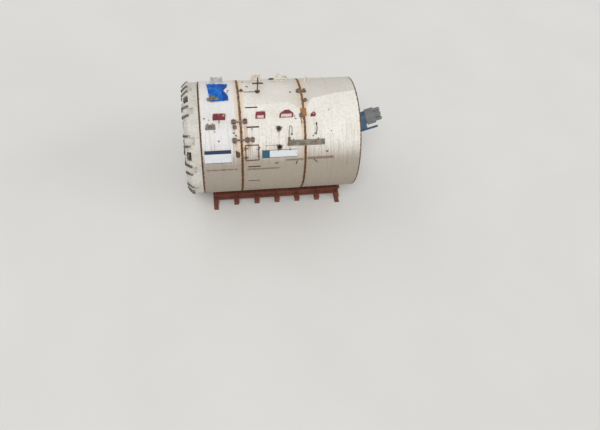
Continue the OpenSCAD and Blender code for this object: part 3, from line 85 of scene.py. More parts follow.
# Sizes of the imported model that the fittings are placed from, in metres
AXIS_H = (low("front_shell").z + high("front_shell").z) / 2
FRONT_R = (high("front_shell").z - low("front_shell").z) / 2
MIDDLE_R = (high("middle_shell").z - low("middle_shell").z) / 2
TAIL_R = (high("tail_shell").z - low("tail_shell").z) / 2
FRONT_X = low("front_shell").x
JOINT_1 = (low("front_joint").x + high("front_joint").x) / 2
JOINT_2 = (low("tail_joint").x + high("tail_joint").x) / 2
TAIL_X = high("tail_shell").x
RIM_R = high("cutter_rim").z - AXIS_H
FACE_X = low("cutter_rim").x
RIM_BACK_X = high("cutter_rim").x
PANEL_X = low("cutter_panels").x
SCREW_POINT = Vector(joint_of("screw_turn")["pos_m"])
SCREW_AXIS = Vector(joint_of("screw_turn")["axis"])
SCREW_TILT = math.atan2(SCREW_AXIS.z, SCREW_AXIS.x)

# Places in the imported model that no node's box gives, in metres
SLOT_X = (JOINT_1 + 0.31, JOINT_1 + 1.03)
SHOE_R = 3.005
ARTICULATION_R = 3.135
CARRIAGE_FLANGE_R = 1.55
CASING_R = 0.40
PANEL_IN_R = 2.12
SPOKE_HALF = 0.43
GRIP_DROP = 2.07

# The hatch's two sides, in degrees from the crown
HATCH_SIDES = (51.4, 66.6)


def colour(code):
    """A linear colour from its sRGB hex value."""
    parts = [int(code[i : i + 2], 16) / 255 for i in (1, 3, 5)]
    return [p / 12.92 if p <= 0.04045 else ((p + 0.055) / 1.055) ** 2.4 for p in parts] + [1.0]


# Sizes and colours that a user may change


def size_of(name, text, value):
    """A length in metres."""
    return bpy.props.FloatProperty(name=name, description=text, default=value, min=0, unit="LENGTH")


def tint_of(name, text, code):
    """A colour that a user may pick."""
    return bpy.props.FloatVectorProperty(
        name=name, description=text, default=colour(code)[:3], size=3, subtype="COLOR", min=0, max=1
    )


class MachineColours(bpy.types.PropertyGroup):
    """Colours of the machine's finishes"""

    shield: tint_of("Shield", "Weathered off-white paint of the shields", "#e9e4d9")
    # dirt and painted shade of the lower half of the shields
    shield_underside_dirt_and_shade: tint_of("Shield Underside", "Dirt on the lower half of the shields", "#9a8d7c")
    stain: tint_of("Stain", "Cream stain that rust water leaves beside the joints", "#dcb98a")
    rust: tint_of("Rust", "Dry rust on bare steel", "#6f4630")
    primer: tint_of("Red Primer", "Dark red primer of the lifting lugs", "#7d2636")
    cradle: tint_of("Cradle Primer", "Red-brown primer of the cradle", "#6e3a2c")
    tarpaulin: tint_of("Tarpaulin", "Blue woven tarpaulin", "#0a66c6")
    board: tint_of("Name Board", "Navy of the blank name boards", "#1d2f55")
    erector: tint_of("Erector", "Yellow enamel of the segment erector", "#d79a1e")
    screw: tint_of("Screw", "Blue-grey enamel of the screw conveyor", "#4d6c8a")
    machine: tint_of("Machinery", "Grey enamel of jacks and drives", "#878b8a")
    floor: tint_of("Floor", "Pale studio floor", "#dfddd8")


class MachineSizes(bpy.types.PropertyGroup):
    """Sizes of the fittings"""

    bolt: size_of("Bolt", "Width across a bolt head", 0.055)
    weld: size_of("Weld", "Half width of a weld bead", 0.011)
    tarp_length: size_of("Tarpaulin Length", "Cut length of the tarpaulin along the shield", 1.26)
    tarp_width: size_of("Tarpaulin Width", "Cut width of the tarpaulin round the shield", 1.80)
    tarp_wrinkle: size_of("Wrinkles", "Height of the tarpaulin's wrinkles", 0.038)
    bag: size_of("Sandbag", "Length of a sandbag", 0.36)
    brush: size_of("Bristle", "Width of a tuft of the tail brushes", 0.04)
    chain: size_of("Chain", "Length of a link of the chain", 0.085)
    floor: size_of("Floor", "Width of the studio floor", 240.0)


def colours():
    """The chosen colours."""
    return bpy.context.scene.machine_colours


def sizes():
    """The chosen sizes."""
    return bpy.context.scene.machine_sizes


def tint(name):
    """A chosen colour with its alpha."""
    return list(getattr(colours(), name)) + [1.0]


# Modelling


def select(*pieces):
    """Select these pieces only; the first is active."""
    bpy.ops.object.select_all(action="DESELECT")
    for piece in pieces:
        piece.select_set(True)
    bpy.context.view_layer.objects.active = pieces[0]


def modify(piece, kind, **settings):
    """Add a modifier and apply it."""
    select(piece)
    modifier = piece.modifiers.new(kind.title(), kind)
    for key, value in settings.items():
        setattr(modifier, key, value)
    bpy.ops.object.modifier_apply(modifier=modifier.name)
    return piece


def place(piece, matrix):
    """Move a piece's mesh."""
    piece.data.transform(matrix)
    return piece


def spin(axis, degrees):
    """A turn about an axis."""
    return Matrix.Rotation(math.radians(degrees), 4, axis)


def move(x, y, z):
    """A shift in metres."""
    return Matrix.Translation((x, y, z))


def cuboid(size, at=(0, 0, 0), edge=0.004):
    """A block with bevelled edges round a point."""
    bpy.ops.object.select_all(action="DESELECT")
    bpy.ops.mesh.primitive_cube_add(size=1)
    piece = bpy.context.object
    piece.scale = size
    bpy.ops.object.transform_apply(location=False, rotation=False, scale=True)
    if edge:
        bpy.ops.object.mode_set(mode="EDIT")
        bpy.ops.mesh.select_all(action="SELECT")
        bpy.ops.mesh.bevel(offset=edge, segments=1, affect="EDGES")
        bpy.ops.object.mode_set(mode="OBJECT")
    return place(piece, Matrix.Translation(at))


def turned(profile, sides=24, at=(0, 0, 0)):
    """A round piece on Z: a disc, extruded and resized from each (radius, height) to the next."""
    bpy.ops.object.select_all(action="DESELECT")
    bpy.ops.mesh.primitive_circle_add(vertices=sides, radius=profile[0][0], fill_type="NGON")
    piece = bpy.context.object
    bpy.ops.object.mode_set(mode="EDIT")
    bpy.ops.mesh.select_all(action="SELECT")
    for (r0, z0), (r1, z1) in zip(profile, profile[1:]):
        bpy.ops.mesh.extrude_region_move(TRANSFORM_OT_translate={"value": (0, 0, z1 - z0)})
        if r1 != r0:
            ratio = r1 / r0
            bpy.ops.transform.resize(value=(ratio, ratio, 1), center_override=(0, 0, 0))
    bpy.ops.mesh.select_all(action="SELECT")
    bpy.ops.mesh.normals_make_consistent(inside=False)
    bpy.ops.object.mode_set(mode="OBJECT")
    return place(piece, Matrix.Translation(Vector(at) + Vector((0, 0, profile[0][1]))))


def hoop(radius, wall, sides=160, section=6):
    """A ring of round section round Z."""
    bpy.ops.object.select_all(action="DESELECT")
    bpy.ops.mesh.primitive_torus_add(
        major_radius=radius, minor_radius=wall, major_segments=sides, minor_segments=section
    )
    return bpy.context.object


def pipe(points, radius, sides=8, smooth=True):
    """A round bar or pipe through points, drawn as a curve and made a mesh."""
    bpy.ops.object.select_all(action="DESELECT")
    bpy.ops.curve.primitive_bezier_curve_add()
    piece = bpy.context.object
    spline = piece.data.splines[0]
    spline.bezier_points.add(len(points) - 2)
    for knot, point in zip(spline.bezier_points, points):
        knot.handle_left_type = knot.handle_right_type = "AUTO" if smooth else "VECTOR"
        knot.co = point
    piece.data.dimensions = "3D"
    piece.data.bevel_depth = radius
    piece.data.bevel_resolution = max(0, sides // 4 - 1)
    piece.data.resolution_u = 6 if smooth else 1
    piece.data.use_fill_caps = True
    select(piece)
    bpy.ops.object.convert(target="MESH")
    return bpy.context.object


def join(pieces):
    """Join pieces into the first of them."""
    select(*pieces)
    if len(pieces) > 1:
        bpy.ops.object.join()
    return pieces[0]


def repeat(piece, places):
    """One mesh with a copy of the piece at each place."""
    made = []
    for matrix in places:
        twin = piece.copy()
        twin.data = piece.data.copy()
        twin.data.transform(matrix)
        bpy.context.collection.objects.link(twin)
        made.append(twin)
    bpy.data.objects.remove(piece)
    return join(made)


def finish(piece, name, body, slot, chosen=None, angle=35):
    """Name and smooth a piece, and give it its body and the finish of its slot or another."""
    piece.name = name
    piece.data.name = name
    select(piece)
    bpy.ops.object.shade_smooth_by_angle(angle=math.radians(angle))
    piece.data.materials.clear()
    piece.data.materials.append(look(chosen or slot))
    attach(piece, body)
    return piece


def around(count, start=0.0):
    """Angles in degrees, evenly round a circle."""
    return [start + 360 * i / count for i in range(count)]


def on_shell(x, b, r):
    """Local Z outward from the axis at angle b from the crown, local X along the machine."""
    return move(x, 0, AXIS_H) @ spin("X", b) @ move(0, 0, r)


def facing_tail(x, b, r):
    """Local Z along +X, at angle b and distance r from the axis."""
    return on_shell(x, b, r) @ spin("Y", 90)


def facing_front(x, b, r):
    """Local Z along -X, at angle b and distance r from the axis."""
    return on_shell(x, b, r) @ spin("Y", -90)


def on_screw(s, a=0.0, r=0.0):
    """Local Z along the screw's axis at distance s from where it crosses the machine's axis."""
    lie = Matrix.Rotation(-SCREW_TILT, 4, "Y") @ spin("Y", 90)
    start = Matrix.Translation(SCREW_POINT)
    return start @ lie @ move(0, 0, s) @ spin("Z", a) @ move(r, 0, 0)


def shell_point(x, b, r):
    """The point at angle b and distance r from the axis."""
    return on_shell(x, b, r).translation


def shell_radius(x):
    """Radius of the shield at a distance along the machine."""
    return FRONT_R if x < JOINT_1 else MIDDLE_R if x < JOINT_2 else TAIL_R


def bolt(width, height=0.6, washer=True):
    """A hexagon bolt head on its washer, standing on Z."""
    half = width / 2
    head = turned([(half, 0), (half, width * height), (half * 0.8, width * (height + 0.08))], 6)
    if not washer:
        return head
    ring = turned([(half * 1.3, -0.002), (half * 1.3, width * 0.1), (half * 1.22, width * 0.13)], 12)
    return join([head, ring])


def ring_on(base, radius, height, angles):
    """Places round the local Z of a base."""
    return [base @ spin("Z", a) @ move(radius, 0, height) for a in angles]


def islands(node):
    """Lowest and highest corner of each separate solid of a node."""
    mesh = bmesh.new()
    mesh.from_mesh(NODES[node].data)
    bmesh.ops.remove_doubles(mesh, verts=mesh.verts, dist=0.0001)
    seen = set()
    boxes = []
    for first in mesh.verts:
        if first in seen:
            continue
        seen.add(first)
        stack = [first]
        group = []
        while stack:
            vert = stack.pop()
            group.append(vert.co.copy())
            for edge in vert.link_edges:
                other = edge.other_vert(vert)
                if other not in seen:
                    seen.add(other)
                    stack.append(other)
        boxes.append([Vector(pick(p[k] for p in group) for k in range(3)) for pick in (min, max)])
    mesh.free()
    return boxes


def middle(box):
    """The middle of a box."""
    return (box[0] + box[1]) / 2


def polar(point):
    """Angle from the crown, positive toward -Y, and distance from the machine's axis."""
    y, z = point.y, point.z - AXIS_H
    return math.degrees(math.atan2(-y, z)), math.hypot(y, z)


def rumple(piece, height, scale, seed):
    """Move each vertex along its normal by a seeded wave, as hand welding or casting leaves it."""
    draw = random.Random(seed)
    phases = [draw.uniform(0, 6.28) for _ in range(6)]
    for vert in piece.data.vertices:
        x, y, z = vert.co * scale
        wave = math.sin(x + phases[0]) * math.sin(y * 1.3 + phases[1])
        wave += math.sin(z * 1.7 + phases[2])
        wave += 0.5 * math.sin(2.9 * x + phases[3]) * math.sin(3.1 * z + phases[4] + y)
        vert.co += vert.normal * height * wave / 2.5
    return piece


# Materials

# Nodes that the materials are made of: kind and settings
PLACE = ("TexCoord", {})
SURFACE = ("NewGeometry", {})
CUT = ("UVMap", {"uv_map": "cut"})
SPLIT = ("SeparateXYZ", {})
UNITE = ("CombineXYZ", {})
STRETCH = ("Mapping", {})
NOISE = ("TexNoise", {})
WARP = ("TexWave", {"bands_direction": "X"})
WEFT = ("TexWave", {"bands_direction": "Y"})
THREAD = ("TexWave", {"bands_direction": "DIAGONAL"})
STEP = ("MapRange", {"interpolation_type": "SMOOTHSTEP"})
MIX = ("Mix", {"data_type": "RGBA"})
BUMP = ("Bump", {})
SHADER = ("BsdfPrincipled", {})
OUTPUT = ("OutputMaterial", {})
PLUS = ("Math", {"operation": "ADD"})
MINUS = ("Math", {"operation": "SUBTRACT"})
TIMES = ("Math", {"operation": "MULTIPLY"})
POWER = ("Math", {"operation": "POWER"})
ROOT = ("Math", {"operation": "SQRT"})
ANGLE = ("Math", {"operation": "ARCTAN2"})
SIGN = ("Math", {"operation": "SIGN"})
MAGNITUDE = ("Math", {"operation": "ABSOLUTE"})
LARGER = ("Math", {"operation": "MAXIMUM"})
SMALLER = ("Math", {"operation": "MINIMUM"})


def feed(node, inputs):
    """Give a node its inputs: a value, a socket, or a node, whose first output in use is linked."""
    for key, value in inputs.items():
        if isinstance(value, bpy.types.Node):
            value = next(output for output in value.outputs if output.enabled)
        if isinstance(value, bpy.types.NodeSocket):
            node.id_data.links.new(value, node.inputs[key])
        else:
            node.inputs[key].default_value = value


def add(material, kind, *inputs):
    """Add a node with its settings and links. Its inputs are given by name in a dictionary, or in
    the order of the sockets that its settings leave in use."""
    name, settings = kind
    node = material.node_tree.nodes.new("ShaderNode" + name)
    for key, value in settings.items():
        setattr(node, key, value)
    if inputs and isinstance(inputs[0], dict):
        feed(node, inputs[0])
    else:
        used = [k for k, socket in enumerate(node.inputs) if socket.enabled]
        feed(node, dict(zip(used, inputs)))
    return node


def new_material(name):
    """A new material and its shader."""
    material = bpy.data.materials.new(name)
    material.use_nodes = True
    material.node_tree.nodes.clear()
    shader = add(material, SHADER)
    add(material, OUTPUT, {"Surface": shader})
    return material, shader


def plus_share(material, value, pattern, share):
    """A value with a share of a pattern on top."""
    return add(material, PLUS, value, add(material, TIMES, pattern, share))


def ragged(material, value, pattern, share):
    """A value that a pattern moves up and down."""
    return plus_share(material, value, add(material, MINUS, pattern, 0.5), share)


def round_place(material):
    """Distance along the machine, arc length from the crown, distance from the axis, and the first
    two as a vector."""
    split = add(material, SPLIT, add(material, PLACE).outputs["Object"])
    up = add(material, MINUS, split.outputs[2], AXIS_H)
    side = add(material, TIMES, split.outputs[1], -1.0)
    arc = add(material, TIMES, add(material, ANGLE, side, up), FRONT_R)
    squares = add(material, PLUS, add(material, POWER, side, 2.0), add(material, POWER, up, 2.0))
    away = add(material, ROOT, squares)
    flat = add(material, UNITE, split.outputs[0], arc, 0.0)
    return split.outputs[0], arc, away, flat


# Where rust water runs down the shields: distance behind the front joint in metres, angle, half
# width and length
DRIPS = (
    (-0.38, 30, 0.10, 0.9),
    (0.28, 32, 0.12, 1.1),
    (-0.36, 48, 0.14, 0.8),
    (0.42, 49, 0.20, 0.9),
    (2.12, 38, 0.09, 0.7),
    (2.11, 56, 0.10, 0.7),
    (3.45, 26, 0.10, 0.8),
    (2.70, 50, 0.06, 0.6),
    (-1.20, 27, 0.05, 0.8),
    (4.10, 27, 0.05, 0.5),
    (4.90, 58, 0.06, 0.5),
    (-1.80, 33, 0.05, 0.5),
)

# Rusty scuffs along the flank: from and to behind the front joint in metres, angle, half width
SCUFFS = (
    (2.42, 3.58, 68.3, 0.09),
    (3.66, 5.32, 67.6, 0.13),
    (1.20, 2.30, 52.6, 0.02),
    (-2.10, -0.20, 76.0, 0.07),
    (0.20, 2.20, 77.0, 0.08),
)

# Where rust stains the paint: distance along the machine, reach of the stain and its strength
STAINED_EDGES = (
    (JOINT_1, 0.62, 0.85),
    (JOINT_2, 0.55, 0.8),
    (FRONT_X, 0.3, 0.6),
    (TAIL_X, 0.25, 0.5),
)


def line_at(material, x, x0, y0, slope):
    """Height of a straight line over x that runs through a point."""
    return add(material, PLUS, add(material, TIMES, add(material, MINUS, x, x0), slope), y0)


def shield_patterns(material):
    """Place on the shields and the patterns that their paint, dirt and rust share."""
    x, arc, away, flat = round_place(material)
    return SimpleNamespace(
        material=material,
        x=x,
        arc=arc,
        away=away,
        flat=flat,
        side=add(material, MAGNITUDE, arc),
        slow=add(material, NOISE, flat, 0.7, 5.0, 0.6),
        quick=add(material, NOISE, flat, 6.0, 8.0, 0.7),
        grain=add(material, NOISE, flat, 38.0, 5.0, 0.7),
        streak=add(
            material,
            NOISE,
            add(material, STRETCH, {"Vector": flat, "Scale": (11.0, 0.55, 1.0)}),
            1.0,
            5.0,
            0.65,
        ),
    )


def chalked_paint(skin):
    """New paint and chalked paint, a little cooler on the front shield."""
    material = skin.material
    paint = add(
        material, MIX, add(material, STEP, skin.slow, 0.35, 0.65), tint("shield"), colour("#f1ede4")
    )
    paint = add(
        material, MIX, add(material, STEP, skin.quick, 0.42, 0.75, 0.0, 0.6), paint, colour("#cbc3b8")
    )
    front = add(material, STEP, add(material, PLUS, skin.x, -JOINT_1), 0.05, -0.05, 0.0, 0.55)
    return add(material, MIX, front, paint, colour("#dfe0e2"))


def tail_shade_and_sun_patch(skin, paint):
    """Painted shade on the tail's crown: a grey film ahead of a brighter patch of painted sunlight."""
    material, x = skin.material, skin.x
    steep = line_at(material, x, JOINT_1 + 3.70, 0.98, -1.30)
    shallow = line_at(material, x, JOINT_1 + 4.25, 0.27, -0.18)
    ahead = add(material, STEP, x, JOINT_1 + 2.7, JOINT_1 + 3.6, 0.6, 1.1)
    edge = add(material, SMALLER, ahead, add(material, LARGER, steep, shallow))
    edge = ragged(material, edge, skin.slow, 0.5)
    edge = ragged(material, edge, skin.quick, 0.22)
    # edge of the painted sunlight: beyond it the crown keeps its bright paint
    sun_patch_edge = add(material, STEP, add(material, MINUS, edge, skin.arc), -0.05, 0.07)
    film = add(material, STEP, x, JOINT_2 - 1.2, JOINT_2 + 0.1, 0.28, 0.62)
    film = add(material, TIMES, film, add(material, STEP, x, JOINT_1, JOINT_1 + 0.9))
    # grey of the painted shade outside the patch of painted sunlight
    return add(material, MIX, add(material, TIMES, sun_patch_edge, film), paint, colour("#c4bcb0"))


def rain_marks(skin, paint):
    """Broad and thin rain streaks on the flanks."""
    material = skin.material
    flank = add(material, STEP, skin.side, 0.6, 2.9, 0.08, 0.52)
    wet = add(material, TIMES, add(material, STEP, skin.streak, 0.5, 0.72), flank)
    paint = add(material, MIX, wet, paint, colour("#ab9a83"))
    thin = add(
        material,
        NOISE,
        add(material, STRETCH, {"Vector": skin.flat, "Scale": (34.0, 0.8, 1.0)}),
        1.0,
        4.0,
        0.6,
    )
    flank = add(material, STEP, skin.side, 1.2, 3.4, 0.0, 0.38)
    runs = add(material, TIMES, add(material, STEP, thin, 0.56, 0.7), flank)
    return add(material, MIX, runs, paint, colour("#8f8170"))


def joint_stains(skin, paint):
    """Cream stain beside the joints and the plates' ends, and where their bare edges rust."""
    material = skin.material
    edges = None
    for at, reach, strong in STAINED_EDGES:
        gap = add(material, MAGNITUDE, add(material, MINUS, skin.x, at))
        spread = plus_share(material, gap, skin.streak, -0.55 * reach)
        stain = add(material, STEP, spread, 0.35 * reach, -0.3 * reach, 0.0, strong)
        paint = add(material, MIX, stain, paint, tint("stain"))
        band = add(material, STEP, plus_share(material, gap, skin.quick, -0.16), 0.005, -0.035)
        edges = band if edges is None else add(material, LARGER, edges, band)
    return paint, edges


def rust_drips(skin, paint):
    """Rust water under clips, ports and lugs."""
    material = skin.material
    for x, b, half, length in DRIPS:
        across = add(material, MAGNITUDE, add(material, MINUS, skin.x, JOINT_1 + x))
        across = plus_share(material, across, skin.streak, 0.08)
        along = add(material, MINUS, skin.arc, math.radians(b) * FRONT_R)
        run = add(
            material,
            TIMES,
            add(material, STEP, along, 0.0, 0.06),
            add(material, STEP, along, length, 0.05),
        )
        drip = add(
            material, TIMES, run, add(material, STEP, across, half + 0.05, half - 0.02, 0.0, 0.75)
        )
        drip = add(material, TIMES, drip, add(material, STEP, skin.streak, 0.35, 0.6))
        paint = add(material, MIX, drip, paint, colour("#a8713f"))
    return paint


def low_dirt_and_shade(skin, paint):
    """Darker toward the bottom: dirt that the spray from the ground leaves low down, with painted shade
    of the underside in it, and its splashes.
    """
    material = skin.material
    spread = add(material, TIMES, skin.slow, 0.9)
    spread = plus_share(material, spread, skin.streak, 1.5)
    # partly dirt, partly painted shade: the flank darkens toward the bottom
    flank_dirt_and_shade_mask = add(material, STEP, add(material, PLUS, skin.side, spread), 4.0, 5.4, 0.0, 0.86)
    paint = add(material, MIX, flank_dirt_and_shade_mask, paint, tint("shield_underside_dirt_and_shade"))
    splash = add(
        material, STEP, plus_share(material, skin.grain, skin.side, 0.045), 0.74, 0.92, 0.0, 0.4
    )
    return add(material, MIX, splash, paint, colour("#8d7d68"))


def rusty_scuffs(skin, paint):
    """Rusty scuffs along the flank where slings and boards lay."""
    material = skin.material
    for x0, x1, b, half in SCUFFS:
        across = add(material, MINUS, skin.arc, math.radians(b) * FRONT_R)
        across = ragged(material, add(material, MAGNITUDE, across), skin.quick, 0.25)
        along = add(material, MAGNITUDE, add(material, MINUS, skin.x, JOINT_1 + (x0 + x1) / 2))
        reach = (x1 - x0) / 2
        scuff = add(
            material,
            TIMES,
            add(material, STEP, across, half, half * 0.3),
            add(material, STEP, along, reach, reach - 0.15),
        )
        scuff = add(material, TIMES, scuff, add(material, STEP, skin.grain, 0.3, 0.55, 0.2, 0.8))
        paint = add(material, MIX, scuff, paint, colour("#6f4e39"))
    return paint


def chips_to_rust(skin, paint, edges):
    """Chips down to rust, and the rusty edges."""
    material = skin.material
    chip = add(material, STEP, plus_share(material, skin.grain, skin.quick, 0.35), 0.86, 0.90)
    rusty = add(material, LARGER, edges, add(material, TIMES, chip, 0.8))
    rust_tone = add(
        material, MIX, add(material, STEP, skin.grain, 0.35, 0.65), tint("rust"), colour("#472c1f")
    )
    return add(material, MIX, rusty, paint, rust_tone)


def inside_coat(skin):
    """The cleaner, greyer coat inside the shields, with grease in the invert."""
    material = skin.material
    coat = add(
        material,
        MIX,
        add(material, STEP, skin.quick, 0.35, 0.7, 0.0, 0.8),
        colour("#bab5a9"),
        colour("#948a7a"),
    )
    grease = add(material, STEP, plus_share(material, skin.side, skin.slow, 3.0), 7.6, 9.4, 0.0, 0.75)
    coat = add(material, MIX, grease, coat, colour("#675d4d"))
    return add(
        material, MIX, add(material, STEP, skin.streak, 0.55, 0.75, 0.0, 0.5), coat, colour("#70512f")
    )


def shield_paint():
    """Alkyd enamel sprayed on rolled steel plate: it chalks and holds dirt, and rust water from the
    joints and welded clips runs down it, so its gloss is low and uneven. Painted shade darkens its
    underside along with the dirt, and greys the tail's crown round a patch of painted sunlight."""
    material, shader = new_material("weathered_shield_enamel")
    skin = shield_patterns(material)
    paint = rain_marks(skin, tail_shade_and_sun_patch(skin, chalked_paint(skin)))
    paint, edges = joint_stains(skin, paint)
    paint = rusty_scuffs(skin, low_dirt_and_shade(skin, rust_drips(skin, paint)))
    coat = chips_to_rust(skin, paint, edges)
    inner = add(material, STEP, skin.away, TAIL_R - 0.02, TAIL_R - 0.03)
    height = add(material, TIMES, skin.slow, 2.0)
    height = plus_share(material, height, skin.grain, 0.12)
    feed(shader, {
        "Base Color": add(material, MIX, inner, coat, inside_coat(skin)),
        "Roughness": add(material, STEP, skin.quick, 0.2, 0.8, 0.48, 0.78),
        "Normal": add(material, BUMP, {"Height": height, "Strength": 0.5, "Distance": 0.012}),
    })
    return material


def enamel(name, base, worn, rough=0.45, dirt=0.5, chips=0.95):
    """Sprayed machine enamel: it dulls unevenly, collects dust and oil, and chips at random."""
    material, shader = new_material(name)
    where = add(material, PLACE).outputs["Object"]
    slow = add(material, NOISE, where, 1.3, 5.0, 0.6)
    quick = add(material, NOISE, where, 9.0, 7.0, 0.7)
    grain = add(material, NOISE, where, 70.0, 4.0, 0.7)
    coat = add(material, MIX, add(material, STEP, slow, 0.35, 0.7, 0.0, 0.6), base, worn)
    patchy = add(material, STEP, slow, 0.3, 0.7, 0.35, 1.0)
    film = add(material, TIMES, add(material, STEP, quick, 0.4, 0.8), patchy)
    coat = add(material, MIX, add(material, TIMES, film, dirt), coat, colour("#7a6f60"))
    chip = add(
        material,
        STEP,
        add(material, PLUS, grain, add(material, TIMES, quick, 0.4)),
        chips,
        chips + 0.04,
    )
    coat = add(material, MIX, chip, coat, colour("#5a4030"))
    feed(shader, {
        "Base Color": coat,
        "Roughness": add(material, STEP, quick, 0.25, 0.75, rough - 0.1, rough + 0.25),
        "Normal": add(material, BUMP, {"Height": grain, "Strength": 0.25, "Distance": 0.004}),
    })
    return material


def rust_steel():
    """Hot-rolled steel left bare outdoors: flaky rust from orange to near black, no gloss."""
    material, shader = new_material("dry_rust")
    where = add(material, PLACE).outputs["Object"]
    slow = add(material, NOISE, where, 3.0, 6.0, 0.65)
    grain = add(material, NOISE, where, 26.0, 8.0, 0.75)
    coat = add(material, MIX, add(material, STEP, slow, 0.35, 0.65), tint("rust"), colour("#8a5a38"))
    coat = add(material, MIX, add(material, STEP, grain, 0.42, 0.62), coat, colour("#44322a"))
    # cement dust lies on what faces up
    turn = add(material, SPLIT, add(material, SURFACE).outputs["Normal"])
    patchy = add(material, STEP, slow, 0.4, 0.6, 0.25, 0.8)
    laid = add(material, TIMES, add(material, STEP, turn.outputs[2], 0.35, 0.9), patchy)
    coat = add(material, MIX, laid, coat, colour("#9a9088"))
    feed(shader, {
        "Base Color": coat,
        "Roughness": add(material, STEP, grain, 0.3, 0.7, 0.75, 0.95),
        "Normal": add(material, BUMP, {"Height": grain, "Strength": 0.8, "Distance": 0.006}),
    })
    return material


def primer_red():
    """Red lead primer on the lugs' outer faces; their inner faces carry the shield's off-white."""
    material, shader = new_material("red_primer_and_white")
    where = add(material, PLACE).outputs["Object"]
    side = add(material, SPLIT, where).outputs[1]
    facing = add(material, SURFACE).outputs["True Normal"]
    turn = add(material, SPLIT, facing)
    outward = add(material, TIMES, turn.outputs[1], add(material, SIGN, side))
    slow = add(material, NOISE, where, 4.0, 6.0, 0.65)
    grain = add(material, NOISE, where, 30.0, 6.0, 0.7)
    red = add(material, MIX, add(material, STEP, slow, 0.35, 0.7), tint("primer"), colour("#93424c"))
    white = add(
        material, MIX, add(material, STEP, slow, 0.4, 0.7), colour("#ece6dc"), colour("#b9a486")
    )
    coat = add(material, MIX, add(material, STEP, outward, 0.3, 0.6), white, red)
    coat = add(material, MIX, add(material, STEP, grain, 0.66, 0.7), coat, colour("#4a2a1c"))
    feed(shader, {
        "Base Color": coat,
        "Roughness": add(material, STEP, grain, 0.3, 0.7, 0.55, 0.8),
        "Normal": add(material, BUMP, {"Height": grain, "Strength": 0.3, "Distance": 0.004}),
    })
    return material


def bare_steel(name, tone, dark, rough, scratch=60.0):
    """Ground or worn steel: metallic, brushed by what runs over it, dull in its hollows."""
    material, shader = new_material(name)
    where = add(material, PLACE).outputs["Object"]
    slow = add(material, NOISE, where, 2.5, 5.0, 0.6)
    fine = add(
        material,
        NOISE,
        add(material, STRETCH, {"Vector": where, "Scale": (0.25, 1.0, 1.0)}),
        scratch,
        4.0,
        0.7,
    )
    coat = add(material, MIX, add(material, STEP, slow, 0.35, 0.65), tone, dark)
    coat = add(material, MIX, add(material, STEP, fine, 0.55, 0.75, 0.0, 0.5), coat, colour("#5a4636"))
    feed(shader, {
        "Base Color": coat,
        "Roughness": add(material, STEP, slow, 0.3, 0.7, rough - 0.08, rough + 0.15),
        "Metallic": 0.85,
        "Normal": add(material, BUMP, {"Height": fine, "Strength": 0.2, "Distance": 0.002}),
    })
    return material


def chrome_rod():
    """Ground and hard-chromed rod with a film of oil."""
    material, shader = new_material("hard_chrome")
    where = add(material, PLACE).outputs["Object"]
    film = add(material, NOISE, where, 6.0, 5.0, 0.6)
    coat = add(material, MIX, add(material, STEP, film, 0.4, 0.7), colour("#c9c9c8"), colour("#9d968a"))
    feed(shader, {
        "Base Color": coat,
        "Roughness": add(material, STEP, film, 0.3, 0.7, 0.12, 0.3),
        "Metallic": 1.0,
    })
    return material


def rubber(name, tone):
    """Moulded rubber or cast polyurethane: soft sheen, dust in its skin."""
    material, shader = new_material(name)
    where = add(material, PLACE).outputs["Object"]
    dust = add(material, NOISE, where, 14.0, 6.0, 0.7)
    coat = add(material, MIX, add(material, STEP, dust, 0.4, 0.75, 0.0, 0.5), tone, colour("#7d7466"))
    feed(shader, {
        "Base Color": coat,
        "Roughness": add(material, STEP, dust, 0.3, 0.7, 0.5, 0.75),
        "Normal": add(material, BUMP, {"Height": dust, "Strength": 0.2, "Distance": 0.002}),
    })
    return material


def planks():
    """Sawn scaffold boards gone grey in the weather: grain along the board and cement dust."""
    material, shader = new_material("weathered_board")
    where = add(material, PLACE).outputs["Object"]
    grain = add(
        material,
        NOISE,
        add(material, STRETCH, {"Vector": where, "Scale": (1.2, 30.0, 30.0)}),
        1.6,
        7.0,
        0.65,
    )
    slow = add(material, NOISE, where, 2.2, 5.0, 0.6)
    coat = add(
        material, MIX, add(material, STEP, grain, 0.35, 0.65), colour("#8b8378"), colour("#5a5047")
    )
    coat = add(material, MIX, add(material, STEP, slow, 0.45, 0.7, 0.0, 0.7), coat, colour("#a39a8d"))
    feed(shader, {
        "Base Color": coat,
        "Roughness": 0.9,
        "Normal": add(material, BUMP, {"Height": grain, "Strength": 0.5, "Distance": 0.004}),
    })
    return material


